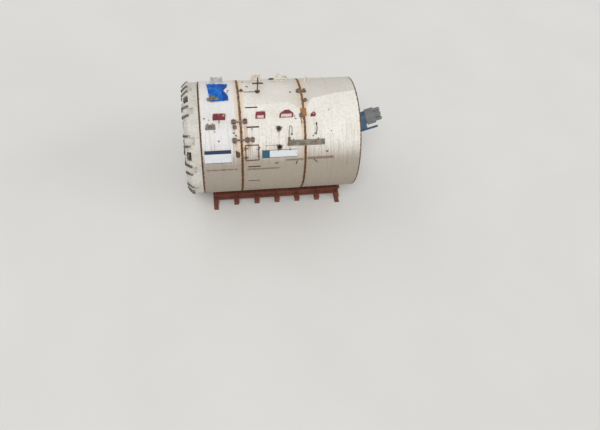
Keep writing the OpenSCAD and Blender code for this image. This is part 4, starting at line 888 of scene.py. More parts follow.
def tarpaulin_cloth():
    """Woven polyethylene tape with a laminated face, whose sheen is soft. It is drawn brighter where it
    faces up and stands off the shell, and darker in the folds' hollows: painted light and painted shade.
    The real tapes are 2.5 mm wide. They are drawn eight times as coarse, which is the finest that shows."""
    material, shader = new_material("woven_polyethylene")
    cut = add(material, CUT).outputs[0]
    # at a scale of 1 a wave texture has about 3.14 bands to a metre
    tapes = 1 / 0.02 / 3.14
    warp = add(material, WARP, cut, tapes).outputs[1]
    weft = add(material, WEFT, cut, tapes).outputs[1]
    weave = add(material, TIMES, warp, weft)
    slow = add(material, NOISE, cut, 2.5, 5.0, 0.6)
    turn = add(material, SPLIT, add(material, SURFACE).outputs["Normal"])
    rise = add(material, STEP, round_place(material)[2], FRONT_R + 0.008, FRONT_R + 0.04)
    # painted light: the cloth is lighter where it faces up and rides high on a fold, with painted shade in the
    # hollows
    painted_light_on_folds = add(material, TIMES, add(material, STEP, turn.outputs[2], 0.72, 0.96), rise)
    coat = add(
        material, MIX, add(material, STEP, slow, 0.35, 0.7), tint("tarpaulin"), colour("#1a86e4")
    )
    # painted shade: the dark blue lies in the folds' hollows and on their steep sides
    coat = add(material, MIX, painted_light_on_folds, colour("#083f92"), coat)
    dust = add(material, STEP, add(material, NOISE, cut, 7.0, 6.0, 0.7), 0.58, 0.8, 0.0, 0.2)
    coat = add(material, MIX, dust, coat, colour("#8ea7b8"))
    coat = add(material, MIX, add(material, TIMES, weave, 0.18), coat, colour("#083a8c"))
    feed(shader, {
        "Base Color": coat,
        "Roughness": 0.45,
        "Specular IOR Level": 0.3,
        "Normal": add(material, BUMP, {"Height": weave, "Strength": 0.25, "Distance": 0.0015}),
    })
    return material


def sacking(name, tone, dark):
    """Woven polypropylene sack filled with sand, dusty and faded."""
    material, shader = new_material(name)
    where = add(material, PLACE).outputs["Object"]
    slow = add(material, NOISE, where, 9.0, 6.0, 0.7)
    thread = add(material, THREAD, where, 22.0).outputs[1]
    coat = add(material, MIX, add(material, STEP, slow, 0.35, 0.7), tone, dark)
    feed(shader, {
        "Base Color": coat,
        "Roughness": 0.92,
        "Normal": add(material, BUMP, {"Height": thread, "Strength": 0.4, "Distance": 0.003}),
    })
    return material


def board_sheet():
    """Printed vinyl on thin sheet with nothing on it but plain fields; it is scuffed and dusty."""
    material, shader = new_material("blank_name_board")
    x, arc, _, flat = round_place(material)
    front = add(material, STEP, x, JOINT_1 + 0.02, JOINT_1 - 0.02)
    worn = add(
        material,
        NOISE,
        add(material, STRETCH, {"Vector": flat, "Scale": (16.0, 3.0, 1.0)}),
        1.0,
        7.0,
        0.7,
    )
    pale = add(
        material, MIX, add(material, STEP, worn, 0.4, 0.75), colour("#e2e4e6"), colour("#cfd0cf")
    )
    navy = add(material, MIX, add(material, STEP, worn, 0.45, 0.8), tint("board"), colour("#33435f"))
    # the front board is navy above a line 0.42 m over its lower edge, the rear one at its front end
    line = math.acos((low("name_boards").z + 0.42 - AXIS_H) / FRONT_R) * FRONT_R
    top = add(material, TIMES, front, add(material, STEP, arc, line - 0.05, line - 0.07))
    block = add(material, STEP, x, JOINT_1 + 1.56, JOINT_1 + 1.54)
    block = add(material, TIMES, block, add(material, MINUS, 1.0, front))
    coat = add(material, MIX, top, pale, navy)
    coat = add(material, MIX, block, coat, colour("#2a5a70"))
    coat = add(material, MIX, add(material, STEP, worn, 0.6, 0.8, 0.0, 0.4), coat, colour("#a9a294"))
    feed(shader, {
        "Base Color": coat,
        "Roughness": add(material, STEP, worn, 0.3, 0.7, 0.35, 0.6),
        "Normal": add(material, BUMP, {"Height": worn, "Strength": 0.2, "Distance": 0.003}),
    })
    return material


def brush_wire():
    """Oiled spring-steel bristles packed with dark grease."""
    material, shader = new_material("greased_bristle")
    where = add(material, PLACE).outputs["Object"]
    fine = add(material, NOISE, where, 40.0, 4.0, 0.7)
    coat = add(
        material, MIX, add(material, STEP, fine, 0.35, 0.65), colour("#3a352f"), colour("#6b6358")
    )
    feed(shader, {
        "Base Color": coat,
        "Roughness": add(material, STEP, fine, 0.3, 0.7, 0.35, 0.65),
        "Metallic": 0.5,
    })
    return material


def floor_paint():
    """Plain pale studio floor."""
    material, shader = new_material("studio_floor")
    where = add(material, PLACE).outputs["Object"]
    soft = add(material, NOISE, where, 0.15, 2.0, 0.5)
    coat = add(
        material, MIX, add(material, STEP, soft, 0.3, 0.7, 0.0, 0.25), tint("floor"), colour("#d4d2cc")
    )
    feed(shader, {
        "Base Color": coat,
        "Roughness": 0.85,
    })
    return material


# How each finish is made; most are named for the slot that takes them
FINISHES = {
    "paint": shield_paint,
    "cutter_paint": lambda: enamel(
        "cutterhead_enamel", colour("#d9d5cb"), colour("#c2bbae"), 0.55, 0.6, 1.02
    ),
    "inner_paint": lambda: enamel(
        "inner_off_white_enamel", colour("#d6d3c9"), colour("#b6b2a7"), 0.5, 0.65, 1.0
    ),
    "tool_steel": lambda: bare_steel("hardened_tool_steel", colour("#8e8b86"), colour("#5f5a53"), 0.38),
    "dark_steel": lambda: bare_steel("forged_steel", colour("#4c4945"), colour("#2e2b28"), 0.5),
    "rusty_steel": rust_steel,
    "machine_grey": lambda: enamel("grey_machine_enamel", tint("machine"), colour("#6d706f")),
    "rod_chrome": chrome_rod,
    "shoe_steel": lambda: bare_steel("cast_shoe_steel", colour("#74716c"), colour("#4d4943"), 0.5),
    "erector_yellow": lambda: enamel(
        "yellow_machine_enamel", tint("erector"), colour("#c08a22"), 0.4, 0.45
    ),
    "screw_blue": lambda: enamel("blue_grey_machine_enamel", tint("screw"), colour("#3d5873"), 0.42),
    "red_primer": primer_red,
    "board_grey": planks,
    "board_blue": board_sheet,
    "tarpaulin_blue": tarpaulin_cloth,
    "cradle_primer": lambda: enamel(
        "red_oxide_primer", tint("cradle"), colour("#8a4a33"), 0.7, 0.55, 0.82
    ),
    "brush_wire": brush_wire,
    "pad": lambda: rubber("cast_polyurethane", colour("#b98a2c")),
    # dark packing that also stands for the shade in the slots: painted shade
    "packing": lambda: rubber("greasy_packing", colour("#2b2420")),
    "rubber": lambda: rubber("black_rubber", colour("#1d1c1b")),
    "sack": lambda: sacking("faded_sacking", colour("#8f866c"), colour("#5d5742")),
    "plate": lambda: enamel("orange_rust_plate", colour("#b8864f"), colour("#93653c"), 0.85, 0.4, 0.75),
}
LOOKS = {}


def look(name):
    """A finish, made when it is first asked for."""
    if name not in LOOKS:
        LOOKS[name] = FINISHES[name]()
    return LOOKS[name]


# Pieces


class MACHINE_OT_finish_nodes(bpy.types.Operator):
    """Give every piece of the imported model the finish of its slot"""

    bl_idname = "machine.finish_nodes"
    bl_label = "Finish the Packed Model"

    def execute(self, context):
        for part in RECORD["subparts"]:
            name = part["node"]
            chosen = look(part["material_slot"])
            if part["material_slot"] == "paint":
                shield = name in ("front_shell", "middle_shell", "tail_shell")
                head = name.startswith("cutter_")
                chosen = look("paint" if shield else "cutter_paint" if head else "inner_paint")
            node = NODES[name]
            node.data.materials.clear()
            node.data.materials.append(chosen)
        return {"FINISHED"}


def bead_along(x0, x1, b, r, seed):
    """A weld bead along a shield."""
    half, length = sizes().weld, x1 - x0
    body = [(half, length * k / 24 + 0.001) for k in range(25)]
    bead = turned([(half * 0.6, 0)] + body + [(half * 0.6, length + 0.004)], 8)
    rumple(bead, half * 0.3, 60, seed)
    return place(bead, facing_tail(x0, b, r))


def bead_round(x, r, seed):
    """A weld bead round a shield."""
    bead = hoop(r, sizes().weld, 288, 6)
    rumple(bead, sizes().weld * 0.3, 40, seed)
    return place(bead, facing_tail(x, 0, 0))


class MACHINE_OT_shell_welds(bpy.types.Operator):
    """Weld beads along and round the rolled plates of the shields"""

    bl_idname = "machine.shell_welds"
    bl_label = "Shell Welds"

    def execute(self, context):
        # each shield is rolled from two courses of plates
        seams = (FRONT_X + 1.15, JOINT_1 + 2.45, JOINT_2 + 1.6)
        beads = [bead_round(x, shell_radius(x), k) for k, x in enumerate(seams)]
        rows = (
            (FRONT_X + 0.02, seams[0], 14),
            (seams[0], JOINT_1 - 0.05, 72),
            (JOINT_1 + 0.05, seams[1], 68),
            (seams[1], JOINT_2 - 0.05, 6),
            (JOINT_2 + 0.05, seams[2], 67),
            (seams[2], TAIL_X - 0.02, 30),
        )
        for k, (x0, x1, b) in enumerate(rows):
            beads += [bead_along(x0, x1, b + turn, shell_radius(x0), k) for turn in (0, 120, 240)]
        finish(join(beads), "shell_welds", "machine", "paint")
        return {"FINISHED"}


class MACHINE_OT_joint_rust(bpy.types.Operator):
    """Rusty burrs and packing in the grooves between the shields"""

    bl_idname = "machine.joint_rust"
    bl_label = "Joint Rust"

    def execute(self, context):
        # place, radius, half width and how far it stands out
        burrs = (
            (JOINT_1 - 0.036, FRONT_R, 0.012, 0.004),
            (JOINT_1 + 0.036, MIDDLE_R, 0.011, 0.004),
            (JOINT_1, MIDDLE_R - 0.014, 0.018, 0),
            (JOINT_2, TAIL_R - 0.010, 0.016, 0),
            (JOINT_2 - 0.033, MIDDLE_R, 0.007, 0.002),
        )
        rings = []
        for k, (x, r, half, out) in enumerate(burrs):
            ring = hoop(r + out - half / 2, half, 432, 7)
            rumple(ring, half * 0.45, 22 + k, 40 + k)
            rings.append(place(ring, facing_tail(x, 0, 0)))
        finish(join(rings), "joint_rust", "machine", "rusty_steel")
        return {"FINISHED"}


class MACHINE_OT_shell_plugs(bpy.types.Operator):
    """Threaded plugs of the grease and grout ports round the shields"""

    bl_idname = "machine.shell_plugs"
    bl_label = "Shell Plugs"

    def execute(self, context):
        rim = [(0.05, -0.02), (0.05, 0.008), (0.046, 0.014), (0.034, 0.014), (0.034, 0.004)]
        plug = turned(rim + [(0.018, 0.004), (0.018, 0.02), (0.014, 0.024)], 16)
        # the front row has none under the name board, at 65 degrees
        places = [on_shell(FRONT_X + 0.62, b, FRONT_R) for b in around(8, 20) if b != 65]
        places += [on_shell(JOINT_1 + 1.75, b, MIDDLE_R) for b in around(8, 22.5)]
        places += [on_shell(JOINT_2 + 0.9, b, TAIL_R) for b in around(8, 9)]
        places += [on_shell(TAIL_X - 0.75, b, TAIL_R) for b in around(8, 31)]
        finish(repeat(plug, places), "shell_plugs", "machine", "paint")
        return {"FINISHED"}


# Folds of the tarpaulin that run out from where it gathers: direction in degrees, half width and
# height, the height as a share of the wrinkle size
FOLDS = (
    (132, 0.050, 1.0), (148, 0.035, 0.7), (163, 0.060, 1.5), (176, 0.030, 0.8), (188, 0.055, 1.3),
    (201, 0.035, 0.9), (214, 0.060, 1.4), (229, 0.040, 0.8), (243, 0.050, 1.0), (112, 0.040, 0.7))


def cloth_fold(u, v):
    """Height of the folds at a place on the cloth; both run from -1 to 1."""
    from_u, from_v = u - 0.62, v + 0.02
    height = 0.0
    for turn, half, share in FOLDS:
        turn = math.radians(turn)
        ahead = from_u * math.cos(turn) + from_v * math.sin(turn)
        across = from_v * math.cos(turn) - from_u * math.sin(turn) + 0.05 * math.sin(
            5 * ahead + 3 * turn
        )
        if ahead > 0:
            wide = half * (0.5 + 1.1 * ahead)
            height += share * math.exp(
                -abs(across / wide) ** 1.4
            ) * min(1.0, 4 * ahead) * (1 - 0.25 * ahead)
    bent_u, bent_v = u + 0.30 * math.sin(2.3 * v + 0.7), v + 0.26 * math.sin(2.9 * u + 2.1)
    creases = (3.4 * bent_u + 1.9 * bent_v + 0.4, 3.1 * bent_v - 2.2 * bent_u + 1.0)
    fade = 0.55 + 0.45 * math.sin(2.1 * u - 3.3 * v + 0.5)
    crumple = fade * sum(
        share * (1 - abs(math.sin(line))) ** 2 for line, share in zip(creases, (0.7, 0.5))
    )
    crumple += 0.12 * math.sin(9 * bent_u + 7 * bent_v) * math.sin(11 * bent_v - 5 * bent_u)
    edge = max(abs(u), abs(v))
    loose = 0.35 * max(0.0, edge - 0.84) / 0.16 * (
        1 + math.sin(6 * (u - v) + 3 * math.sin(5 * u + 2 * v) + 1.3)
    )
    return height + crumple + loose


class MACHINE_OT_tarpaulin(bpy.types.Operator):
    """The blue tarpaulin over the crown of the front shield, rumpled and pinched at one side"""

    bl_idname = "machine.tarpaulin"
    bl_label = "Tarpaulin"

    def execute(self, context):
        long_way, wide_way = sizes().tarp_length, sizes().tarp_width
        x_mid = (low("tarpaulin").x + high("tarpaulin").x) / 2
        # the cloth's two sides lie about 3.3 and 3.1 m over the axis
        b0, _ = polar(Vector((0, low("tarpaulin").y, AXIS_H + 3.3)))
        b1, _ = polar(Vector((0, high("tarpaulin").y, AXIS_H + 3.1)))
        b_mid = (b0 + b1) / 2
        bpy.ops.object.select_all(action="DESELECT")
        bpy.ops.mesh.primitive_grid_add(x_subdivisions=96, y_subdivisions=132, size=1)
        piece = bpy.context.object
        cut = piece.data.uv_layers[0]
        cut.name = "cut"
        for loop in piece.data.loops:
            at = piece.data.vertices[loop.vertex_index].co
            cut.data[loop.index].uv = ((at.x + 0.5) * long_way, (at.y + 0.5) * wide_way)
        half_x = (high("tarpaulin").x - low("tarpaulin").x) / 2
        half_b = abs(b0 - b1) / 2
        for vert in piece.data.vertices:
            u, v = vert.co.x * 2, vert.co.y * 2
            # the tail side is drawn in at its middle, where the cloth gathers
            pinch = 0.38 * math.exp(-((v + 0.02) / 0.36) ** 2) * (0.5 + 0.5 * u)
            along = u * (1 - pinch) + 0.13 * (1 - u) * (1 - v) / 2
            sweep = v * (1 - 0.04 * (1 + u)) + 0.08 * u * (1 - abs(v))
            lift = 0.006 + sizes().tarp_wrinkle * cloth_fold(u, v)
            spot = on_shell(x_mid + along * half_x, b_mid - sweep * half_b, FRONT_R + lift)
            vert.co = spot.translation
        modify(piece, "SOLIDIFY", thickness=0.003, offset=1.0)
        finish(piece, "tarpaulin_sheet", "machine", "tarpaulin_blue", angle=60)
        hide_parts("tarpaulin")
        return {"FINISHED"}


# Sandbags: distance behind the front joint, angle, turn in degrees, size as a share of the first
# one's, and how far a bag is raised by those under it
SANDBAGS = ((-1.58, 3.4, 8, 1.0, 0.0), (-1.27, 3.1, -14, 0.9, 0.0), (-1.42, 2.2, 22, 0.8, 0.085))


class MACHINE_OT_sandbags(bpy.types.Operator):
    """Small sandbags that hold the tarpaulin's lower edge"""

    bl_idname = "machine.sandbags"
    bl_label = "Sandbags"

    def execute(self, context):
        for number, (x, b, turn, share, raised) in enumerate(SANDBAGS):
            long_way = sizes().bag * share
            bpy.ops.object.select_all(action="DESELECT")
            bpy.ops.mesh.primitive_cube_add(size=2)
            bag = bpy.context.object
            modify(bag, "SUBSURF", levels=5, render_levels=5, subdivision_type="SIMPLE")
            for vert in bag.data.vertices:
                u, v, w = vert.co
                full = max(0.0, (1 - abs(u) ** 5) * (1 - v ** 4)) ** 0.4
                sag = 1.0 if w > 0 else 0.5
                vert.co = (
                    u * long_way / 2 * (1 - 0.05 * (1 - v * v)),
                    v * long_way * 0.29 * (1 - 0.10 * abs(u) ** 3),
                    w * long_way * 0.17 * full * sag + 0.003 * w,
                )
            rumple(bag, 0.007, 24 + number, number + 3)
            up = 0.030 + long_way * 0.09 + raised
            place(bag, on_shell(JOINT_1 + x, b, FRONT_R + up) @ spin("Z", turn))
            finish(bag, "sandbag_%d" % (number + 1), "machine", "tarpaulin_blue", "sack", 70)
        return {"FINISHED"}


class MACHINE_OT_name_boards(bpy.types.Operator):
    """Edge strips and rivets of the blank name boards"""

    bl_idname = "machine.name_boards"
    bl_label = "Name Board Edges"

    def execute(self, context):
        parts = []
        for box in islands("name_boards"):
            b0, _ = polar(Vector((0, box[1].y, box[1].z)))
            b1, _ = polar(Vector((0, box[0].y, box[0].z)))
            x0, x1 = box[0].x, box[1].x
            radius = shell_radius(x0) + 0.016
            for b in (b0, b1):
                strip = cuboid((x1 - x0, 0.025, 0.006), edge=0.002)
                parts.append(place(strip, on_shell((x0 + x1) / 2, b, radius)))
            rivet = turned([(0.012, -0.004), (0.012, 0.003), (0.008, 0.007)], 8)
            spots = [x0 + 0.04 + (x1 - x0 - 0.08) * i / 6 for i in range(7)]
            places = [on_shell(x, b, radius + 0.002) for x in spots for b in (b0, b1)]
            places += [
                on_shell(x, b0 + (b1 - b0) * 0.5, radius - 0.003) for x in (x0 + 0.04, x1 - 0.04)
            ]
            parts.append(repeat(rivet, places))
        finish(join(parts), "name_board_edges", "machine", "dark_steel")
        return {"FINISHED"}


class MACHINE_OT_lug_fittings(bpy.types.Operator):
    """Cheek plates and weld fillets of the lifting lugs"""

    bl_idname = "machine.lug_fittings"
    bl_label = "Lug Fittings"

    def execute(self, context):
        mounts = [mount for mount in RECORD["mounts"] if "lug_eye" in mount["name"]]
        first = next(mount for mount in mounts if mount["name"] == "front_lug_eye_right")
        away, half = first["pos_m"][1], first["dims"]["length_mm"] / 2000
        welds = []
        for box in islands("lifting_lugs"):
            spot = middle(box)
            side = -1 if spot.y < 0 else 1
            shell = shell_radius(spot.x)
            for y in (side * (away - half), side * (away + half)):
                z = AXIS_H + math.sqrt(shell ** 2 - y ** 2) + 0.004
                fillet = pipe([(box[0].x, y, z), (box[1].x, y, z)], 0.016, 8, False)
                welds.append(rumple(fillet, 0.003, 70, 5))
        finish(join(welds), "lug_welds", "machine", "paint", "cutter_paint")
        eyes = []
        for mount in mounts:
            r, half = mount["dims"]["r_mm"] / 1000, mount["dims"]["length_mm"] / 2000
            cheek = [(r * 1.9, 0), (r * 1.9, 0.014), (r * 1.8, 0.018), (r, 0.018), (r, 0)]
            eye = Matrix.Translation(mount["pos_m"])
            sides = [eye @ move(0, side * half, 0) @ spin("X", -90 * side) for side in (-1, 1)]
            eyes.append(repeat(turned(cheek, 32), sides))
        finish(cut_discs(join(eyes)), "lug_cheeks", "machine", "red_primer")
        return {"FINISHED"}


def cut_discs(piece):
    """Delete the flat discs that close a turned ring's bore."""
    select(piece)
    bpy.ops.object.mode_set(mode="EDIT")
    mesh = bmesh.from_edit_mesh(piece.data)
    for face in mesh.faces:
        face.select = len(face.verts) > 8
    bmesh.update_edit_mesh(piece.data)
    bpy.ops.mesh.delete(type="FACE")
    bpy.ops.mesh.select_all(action="SELECT")
    bpy.ops.mesh.remove_doubles(threshold=0.0005)
    bpy.ops.mesh.normals_make_consistent(inside=False)
    bpy.ops.object.mode_set(mode="OBJECT")
    return piece


# Small rusty things that were welded to the shields or lie on them: distance behind the front
# joint, angle, and size along, across and out
STUBS = (
    (-1.98, 24.0, 0.10, 0.06, 0.05), (-1.72, 25.5, 0.06, 0.06, 0.04), (-1.45, 37.0, 0.05, 0.07, 0.06),
    (-1.25, 46.0, 0.08, 0.08, 0.07), (-0.40, 39.0, 0.07, 0.12, 0.05), (-0.28, 41.5, 0.12, 0.07, 0.05),
    (-0.55, -8.5, 0.14, 0.05, 0.05), (-0.60, -6.0, 0.05, 0.07, 0.04), (0.55, -15.0, 0.16, 0.05, 0.05),
    (0.62, 36.0, 0.05, 0.09, 0.05), (3.05, 25.0, 0.07, 0.07, 0.06), (3.10, 27.5, 0.10, 0.06, 0.05),
    (3.42, 27.0, 0.09, 0.07, 0.05), (3.44, 31.0, 0.12, 0.05, 0.05), (2.98, -3.0, 0.07, 0.10, 0.06),
    (3.72, 9.5, 0.08, 0.12, 0.07), (4.05, 45.0, 0.07, 0.07, 0.05), (4.85, 61.0, 0.12, 0.08, 0.06),
    (5.05, 20.0, 0.10, 0.04, 0.02), (5.10, 41.0, 0.07, 0.05, 0.02), (2.72, 57.5, 0.05, 0.10, 0.05),
    (-0.30, 57.0, 0.10, 0.12, 0.08), (0.35, -28.0, 0.12, 0.05, 0.04), (1.95, 71.0, 0.20, 0.06, 0.05),
    (3.10, 71.5, 0.24, 0.05, 0.05), (4.20, 70.5, 0.30, 0.05, 0.05),
)


class MACHINE_OT_shell_stubs(bpy.types.Operator):
    """Rusty stubs, nuts and clip ends on the shields"""

    bl_idname = "machine.shell_stubs"
    bl_label = "Shell Stubs"

    def execute(self, context):
        parts = []
        for k, (x, b, along, across, out) in enumerate(STUBS):
            shell = shell_radius(JOINT_1 + x)
            base = cuboid((along, across, out * 0.6), (0, 0, out * 0.25), 0.008)
            knob = turned([(across * 0.34, 0), (across * 0.36, out * 0.9), (across * 0.26, out)], 7)
            lump = rumple(join([base, knob]), 0.006, 50, k)
            parts.append(
                place(lump, on_shell(JOINT_1 + x, b, shell) @ Matrix.Rotation(k * 1.1, 4, "Z"))
            )
        finish(join(parts), "shell_stubs", "machine", "rusty_steel")
        return {"FINISHED"}


# Brackets along the joints: distance behind the front joint, angle, width over the cheeks and
# height of the pin, all in metres but the angle
BRACKETS = (
    (-0.380, 28.5, 0.22, 0.108), (-0.330, 33.5, 0.18, 0.068), (0.260, 28.5, 0.26, 0.088),
    (-0.380, 46.0, 0.26, 0.078), (0.330, 46.0, 0.26, 0.108), (0.620, 46.0, 0.24, 0.078),
    (-0.230, 60.0, 0.26, 0.058), (0.200, -8.0, 0.12, 0.038), (3.440, -4.0, 0.22, 0.058),
    (3.790, -4.0, 0.20, 0.068), (3.440, 24.5, 0.20, 0.068), (3.780, 8.0, 0.14, 0.038),
)


class MACHINE_OT_bracket_fittings(bpy.types.Operator):
    """Nuts on the pins, wedges and weld lumps of the brackets along the joints"""

    bl_idname = "machine.bracket_fittings"
    bl_label = "Bracket Fittings"

    def execute(self, context):
        parts = []
        for k, (x, b, wide, pin_up) in enumerate(BRACKETS):
            here = on_shell(JOINT_1 + x, b, shell_radius(JOINT_1 + x))
            for side in (-1, 1):
                nut = turned([(0.044, 0), (0.044, 0.034), (0.034, 0.04)], 6)
                end = here @ move(0, side * (wide / 2 + 0.004), pin_up)
                parts.append(place(nut, end @ spin("X", -90 * side)))
            wedge = cuboid((0.09, wide * 0.5, 0.05), (0.03 * (-1) ** k, 0, 0.045), 0.008)
            parts.append(place(rumple(wedge, 0.006, 40, k), here))
            for end in (-1, 1):
                points = [
                    (end * 0.10, -wide / 2, 0.012),
                    (end * 0.105, 0, 0.016),
                    (end * 0.10, wide / 2, 0.012),
                ]
                bead = pipe([here @ Vector(point) for point in points], 0.016, 8)
                parts.append(rumple(bead, 0.005, 60, k))
        finish(join(parts), "bracket_fittings", "machine", "rusty_steel")
        return {"FINISHED"}


class MACHINE_OT_slot_packing(bpy.types.Operator):
    """Dark packing strips in the slots round the middle shield: greasy packing and painted shade of the slots"""

    bl_idname = "machine.slot_packing"
    bl_label = "Slot Packing"

    def execute(self, context):
        x0, x1 = SLOT_X
        # the dark strips give the slots their shade: painted shade
        strip = cuboid((x1 - x0 - 0.02, 0.086, 0.012), (0, 0, -0.034), 0.002)
        clip = cuboid((0.03, 0.08, 0.014), (0.18, 0, -0.024), 0.002)
        place(strip, move((x0 + x1) / 2, 0, 0))
        place(clip, move((x0 + x1) / 2, 0, 0))
        places = [on_shell(0, a, MIDDLE_R) for a in around(18, -26)]
        finish(repeat(join([strip, clip]), places), "slot_packing", "machine", "rusty_steel", "packing")
        return {"FINISHED"}


class MACHINE_OT_joint_plate(bpy.types.Operator):
    """The square plate that bridges the tail joint"""

    bl_idname = "machine.joint_plate"
    bl_label = "Joint Plate"

    def execute(self, context):
        plate = cuboid((0.34, 0.46, 0.022), (0, 0, 0.011), 0.004)
        block = cuboid((0.20, 0.10, 0.07), (0.0, -0.10, 0.05), 0.008)
        corners = [move(x, y, 0.022) for x in (-0.12, 0.12) for y in (-0.18, 0.18)]
        nuts = repeat(bolt(0.05), corners)
        piece = place(join([plate, block, nuts]), on_shell(JOINT_2 - 0.02, 21.3, MIDDLE_R))
        finish(piece, "joint_plate", "machine", "rusty_steel", "plate")
        return {"FINISHED"}


class MACHINE_OT_loop_handle(bpy.types.Operator):
    """The long loop of round bar beside the rear port"""

    bl_idname = "machine.loop_handle"
    bl_label = "Loop Handle"

    def execute(self, context):
        x = JOINT_1 + 2.73
        # distance from x, angle and height over the shell of each bend
        bends = (
            (-0.07, 47.0, 0.0),
            (-0.08, 46.3, 0.09),
            (-0.07, 43.0, 0.12),
            (-0.03, 37.0, 0.12),
            (0.01, 34.9, 0.12),
            (0.08, 34.9, 0.12),
            (0.11, 37.0, 0.12),
            (0.10, 41.5, 0.10),
            (0.11, 42.6, 0.0),
        )
        bar = pipe([shell_point(x + dx, b, MIDDLE_R + lift) for dx, b, lift in bends], 0.018)
        box = place(cuboid((0.13, 0.16, 0.10), (0, 0, 0.04), 0.01), on_shell(x - 0.05, 46.6, MIDDLE_R))
        foot = place(
            cuboid((0.10, 0.10, 0.03), (0, 0, 0.01), 0.006), on_shell(x + 0.11, 42.6, MIDDLE_R)
        )
        finish(join([bar, box, foot]), "loop_handle", "machine", "rusty_steel")
        return {"FINISHED"}


class MACHINE_OT_tail_chain(bpy.types.Operator):
    """A short chain that lies against the tail skin, with a hook at one end and an ear at the other"""

    bl_idname = "machine.tail_chain"
    bl_label = "Tail Chain"

    def execute(self, context):
        size = sizes().chain
        link = hoop(size * 0.33, size * 0.11, 14, 6)
        for vert in link.data.vertices:
            vert.co.x += math.copysign(size * 0.17, vert.co.x)
        start, end = (JOINT_1 + 4.26, 34.0), (JOINT_1 + 4.20, 43.0)
        count = 8
        places = []
        for k in range(count):
            t = k / (count - 1)
            b = start[1] + (end[1] - start[1]) * t
            x = start[0] + (end[0] - start[0]) * t + 0.05 * math.sin(3.1 * t)
            lie = spin("Z", 90) @ spin("X", 35 if k % 2 else -35)
            places.append(on_shell(x, b, TAIL_R + size * 0.36) @ lie)
        chain = repeat(link, places)
        bends = [
            (0, 0, 0.0), (0.02, 0.05, 0.03), (0.07, 0.09, 0.03), (0.12, 0.05, 0.02), (0.10, 0.0, 0.02)
        ]
        hook = place(pipe(bends, 0.016), on_shell(JOINT_1 + 4.13, 43.6, TAIL_R + 0.02))
        ear = place(
            cuboid((0.05, 0.12, 0.11), (0, 0, 0.045), 0.008), on_shell(JOINT_1 + 4.27, 33.2, TAIL_R)
        )
        finish(join([chain, hook, ear]), "tail_chain", "machine", "rusty_steel", "dark_steel")
        return {"FINISHED"}


class MACHINE_OT_port_bolts(bpy.types.Operator):
    """Bolts, grids and star handles of the round ports"""

    bl_idname = "machine.port_bolts"
    bl_label = "Port Fittings"

    def execute(self, context):
        parts = []
        for box in islands("shell_ports"):
            spot = middle(box)
            b, _ = polar(spot)
            here = on_shell(spot.x, b, MIDDLE_R + 0.058)
            parts.append(repeat(bolt(0.036), ring_on(here, 0.12, 0, around(8))))
            cross = [cuboid((0.24, 0.018, 0.018), (0, y, -0.02), 0.003) for y in (-0.05, 0.0, 0.05)]
            hub = turned([(0.03, -0.03), (0.03, 0.03), (0.022, 0.036)], 10)
            parts.append(place(join(cross + [hub]), here))
            for a in (20, 140, 250):
                tab = cuboid((0.09, 0.03, 0.02), (0.19, 0, -0.045), 0.004)
                parts.append(place(tab, here @ spin("Z", a)))
        finish(join(parts), "port_fittings", "machine", "rusty_steel", "dark_steel")
        return {"FINISHED"}


class MACHINE_OT_access_boards(bpy.types.Operator):
    """Pairs of sawn planks with steel bands and welded feet, in place of each plain board"""

    bl_idname = "machine.access_boards"
    bl_label = "Access Boards"

    def execute(self, context):
        planks_made, steel = [], []
        for box in islands("access_boards"):
            x0, x1 = box[0].x, box[1].x
            mid = (x0 + x1) / 2
            b, wide = (51.0, 0.33) if mid > JOINT_1 else (32.5, 0.30)
            shell = MIDDLE_R if mid > JOINT_1 else FRONT_R
            for side in (-1, 1):
                size = (x1 - x0 - 0.02 * (side + 1), wide / 2 - 0.006, 0.040)
                plank = cuboid(size, ((side + 1) * 0.006, side * wide / 4, 0.023), 0.004)
                planks_made.append(place(plank, on_shell(mid, b, shell)))
            for x in (x0 + 0.05, x1 - 0.09):
                band = cuboid((0.03, wide + 0.006, 0.046), (0, 0, 0.023), 0.002)
                steel.append(place(band, on_shell(x, b, shell)))
            count = max(2, int((x1 - x0) / 0.7))
            for i in range(count):
                foot = cuboid((0.05, 0.07, 0.08), (0, wide / 2 + 0.036, 0.02), 0.004)
                steel.append(place(foot, on_shell(x0 + (x1 - x0) * (i + 0.5) / count, b, shell)))
        piece = finish(join(planks_made), "access_planks", "machine", "board_grey")
        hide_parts("access_boards")
        finish(join(steel), "plank_bands", "machine", "rusty_steel")
        return {"FINISHED"}


def post_side():
    """The guard rail post's distance from the middle plane."""
    top = high("rail_post").z - 0.05
    spots = [vert.co.y for vert in NODES["rail_post"].data.vertices if vert.co.z > top]
    return (min(spots) + max(spots)) / 2


class MACHINE_OT_post_fittings(bpy.types.Operator):
    """Couplers, gussets and foot bolts of the guard rail's post"""

    bl_idname = "machine.post_fittings"
    bl_label = "Post Fittings"

    def execute(self, context):
        x, y = (low("rail_post").x + high("rail_post").x) / 2, post_side()
        foot = AXIS_H + math.sqrt(MIDDLE_R ** 2 - y ** 2)
        parts = [cuboid((0.12, 0.012, 0.16), (x + dx, y, foot + 0.08), 0.003) for dx in (-0.08, 0.08)]
        parts += [cuboid((0.012, 0.12, 0.16), (x, y + dy, foot + 0.08), 0.003) for dy in (-0.08, 0.08)]
        for z in (foot + 0.64, foot + 0.76):
            parts.append(turned([(0.05, -0.02), (0.054, 0), (0.05, 0.02)], 16, (x, y, z)))
        parts.append(cuboid((0.10, 0.12, 0.11), (x, y, foot + 0.70), 0.012))
        corners = [move(x + dx, y + dy, foot + 0.022) for dx in (-0.07, 0.07) for dy in (-0.07, 0.07)]
        bolts = repeat(bolt(0.03), corners)
        finish(join(parts + [bolts]), "post_fittings", "machine", "rusty_steel")
        return {"FINISHED"}


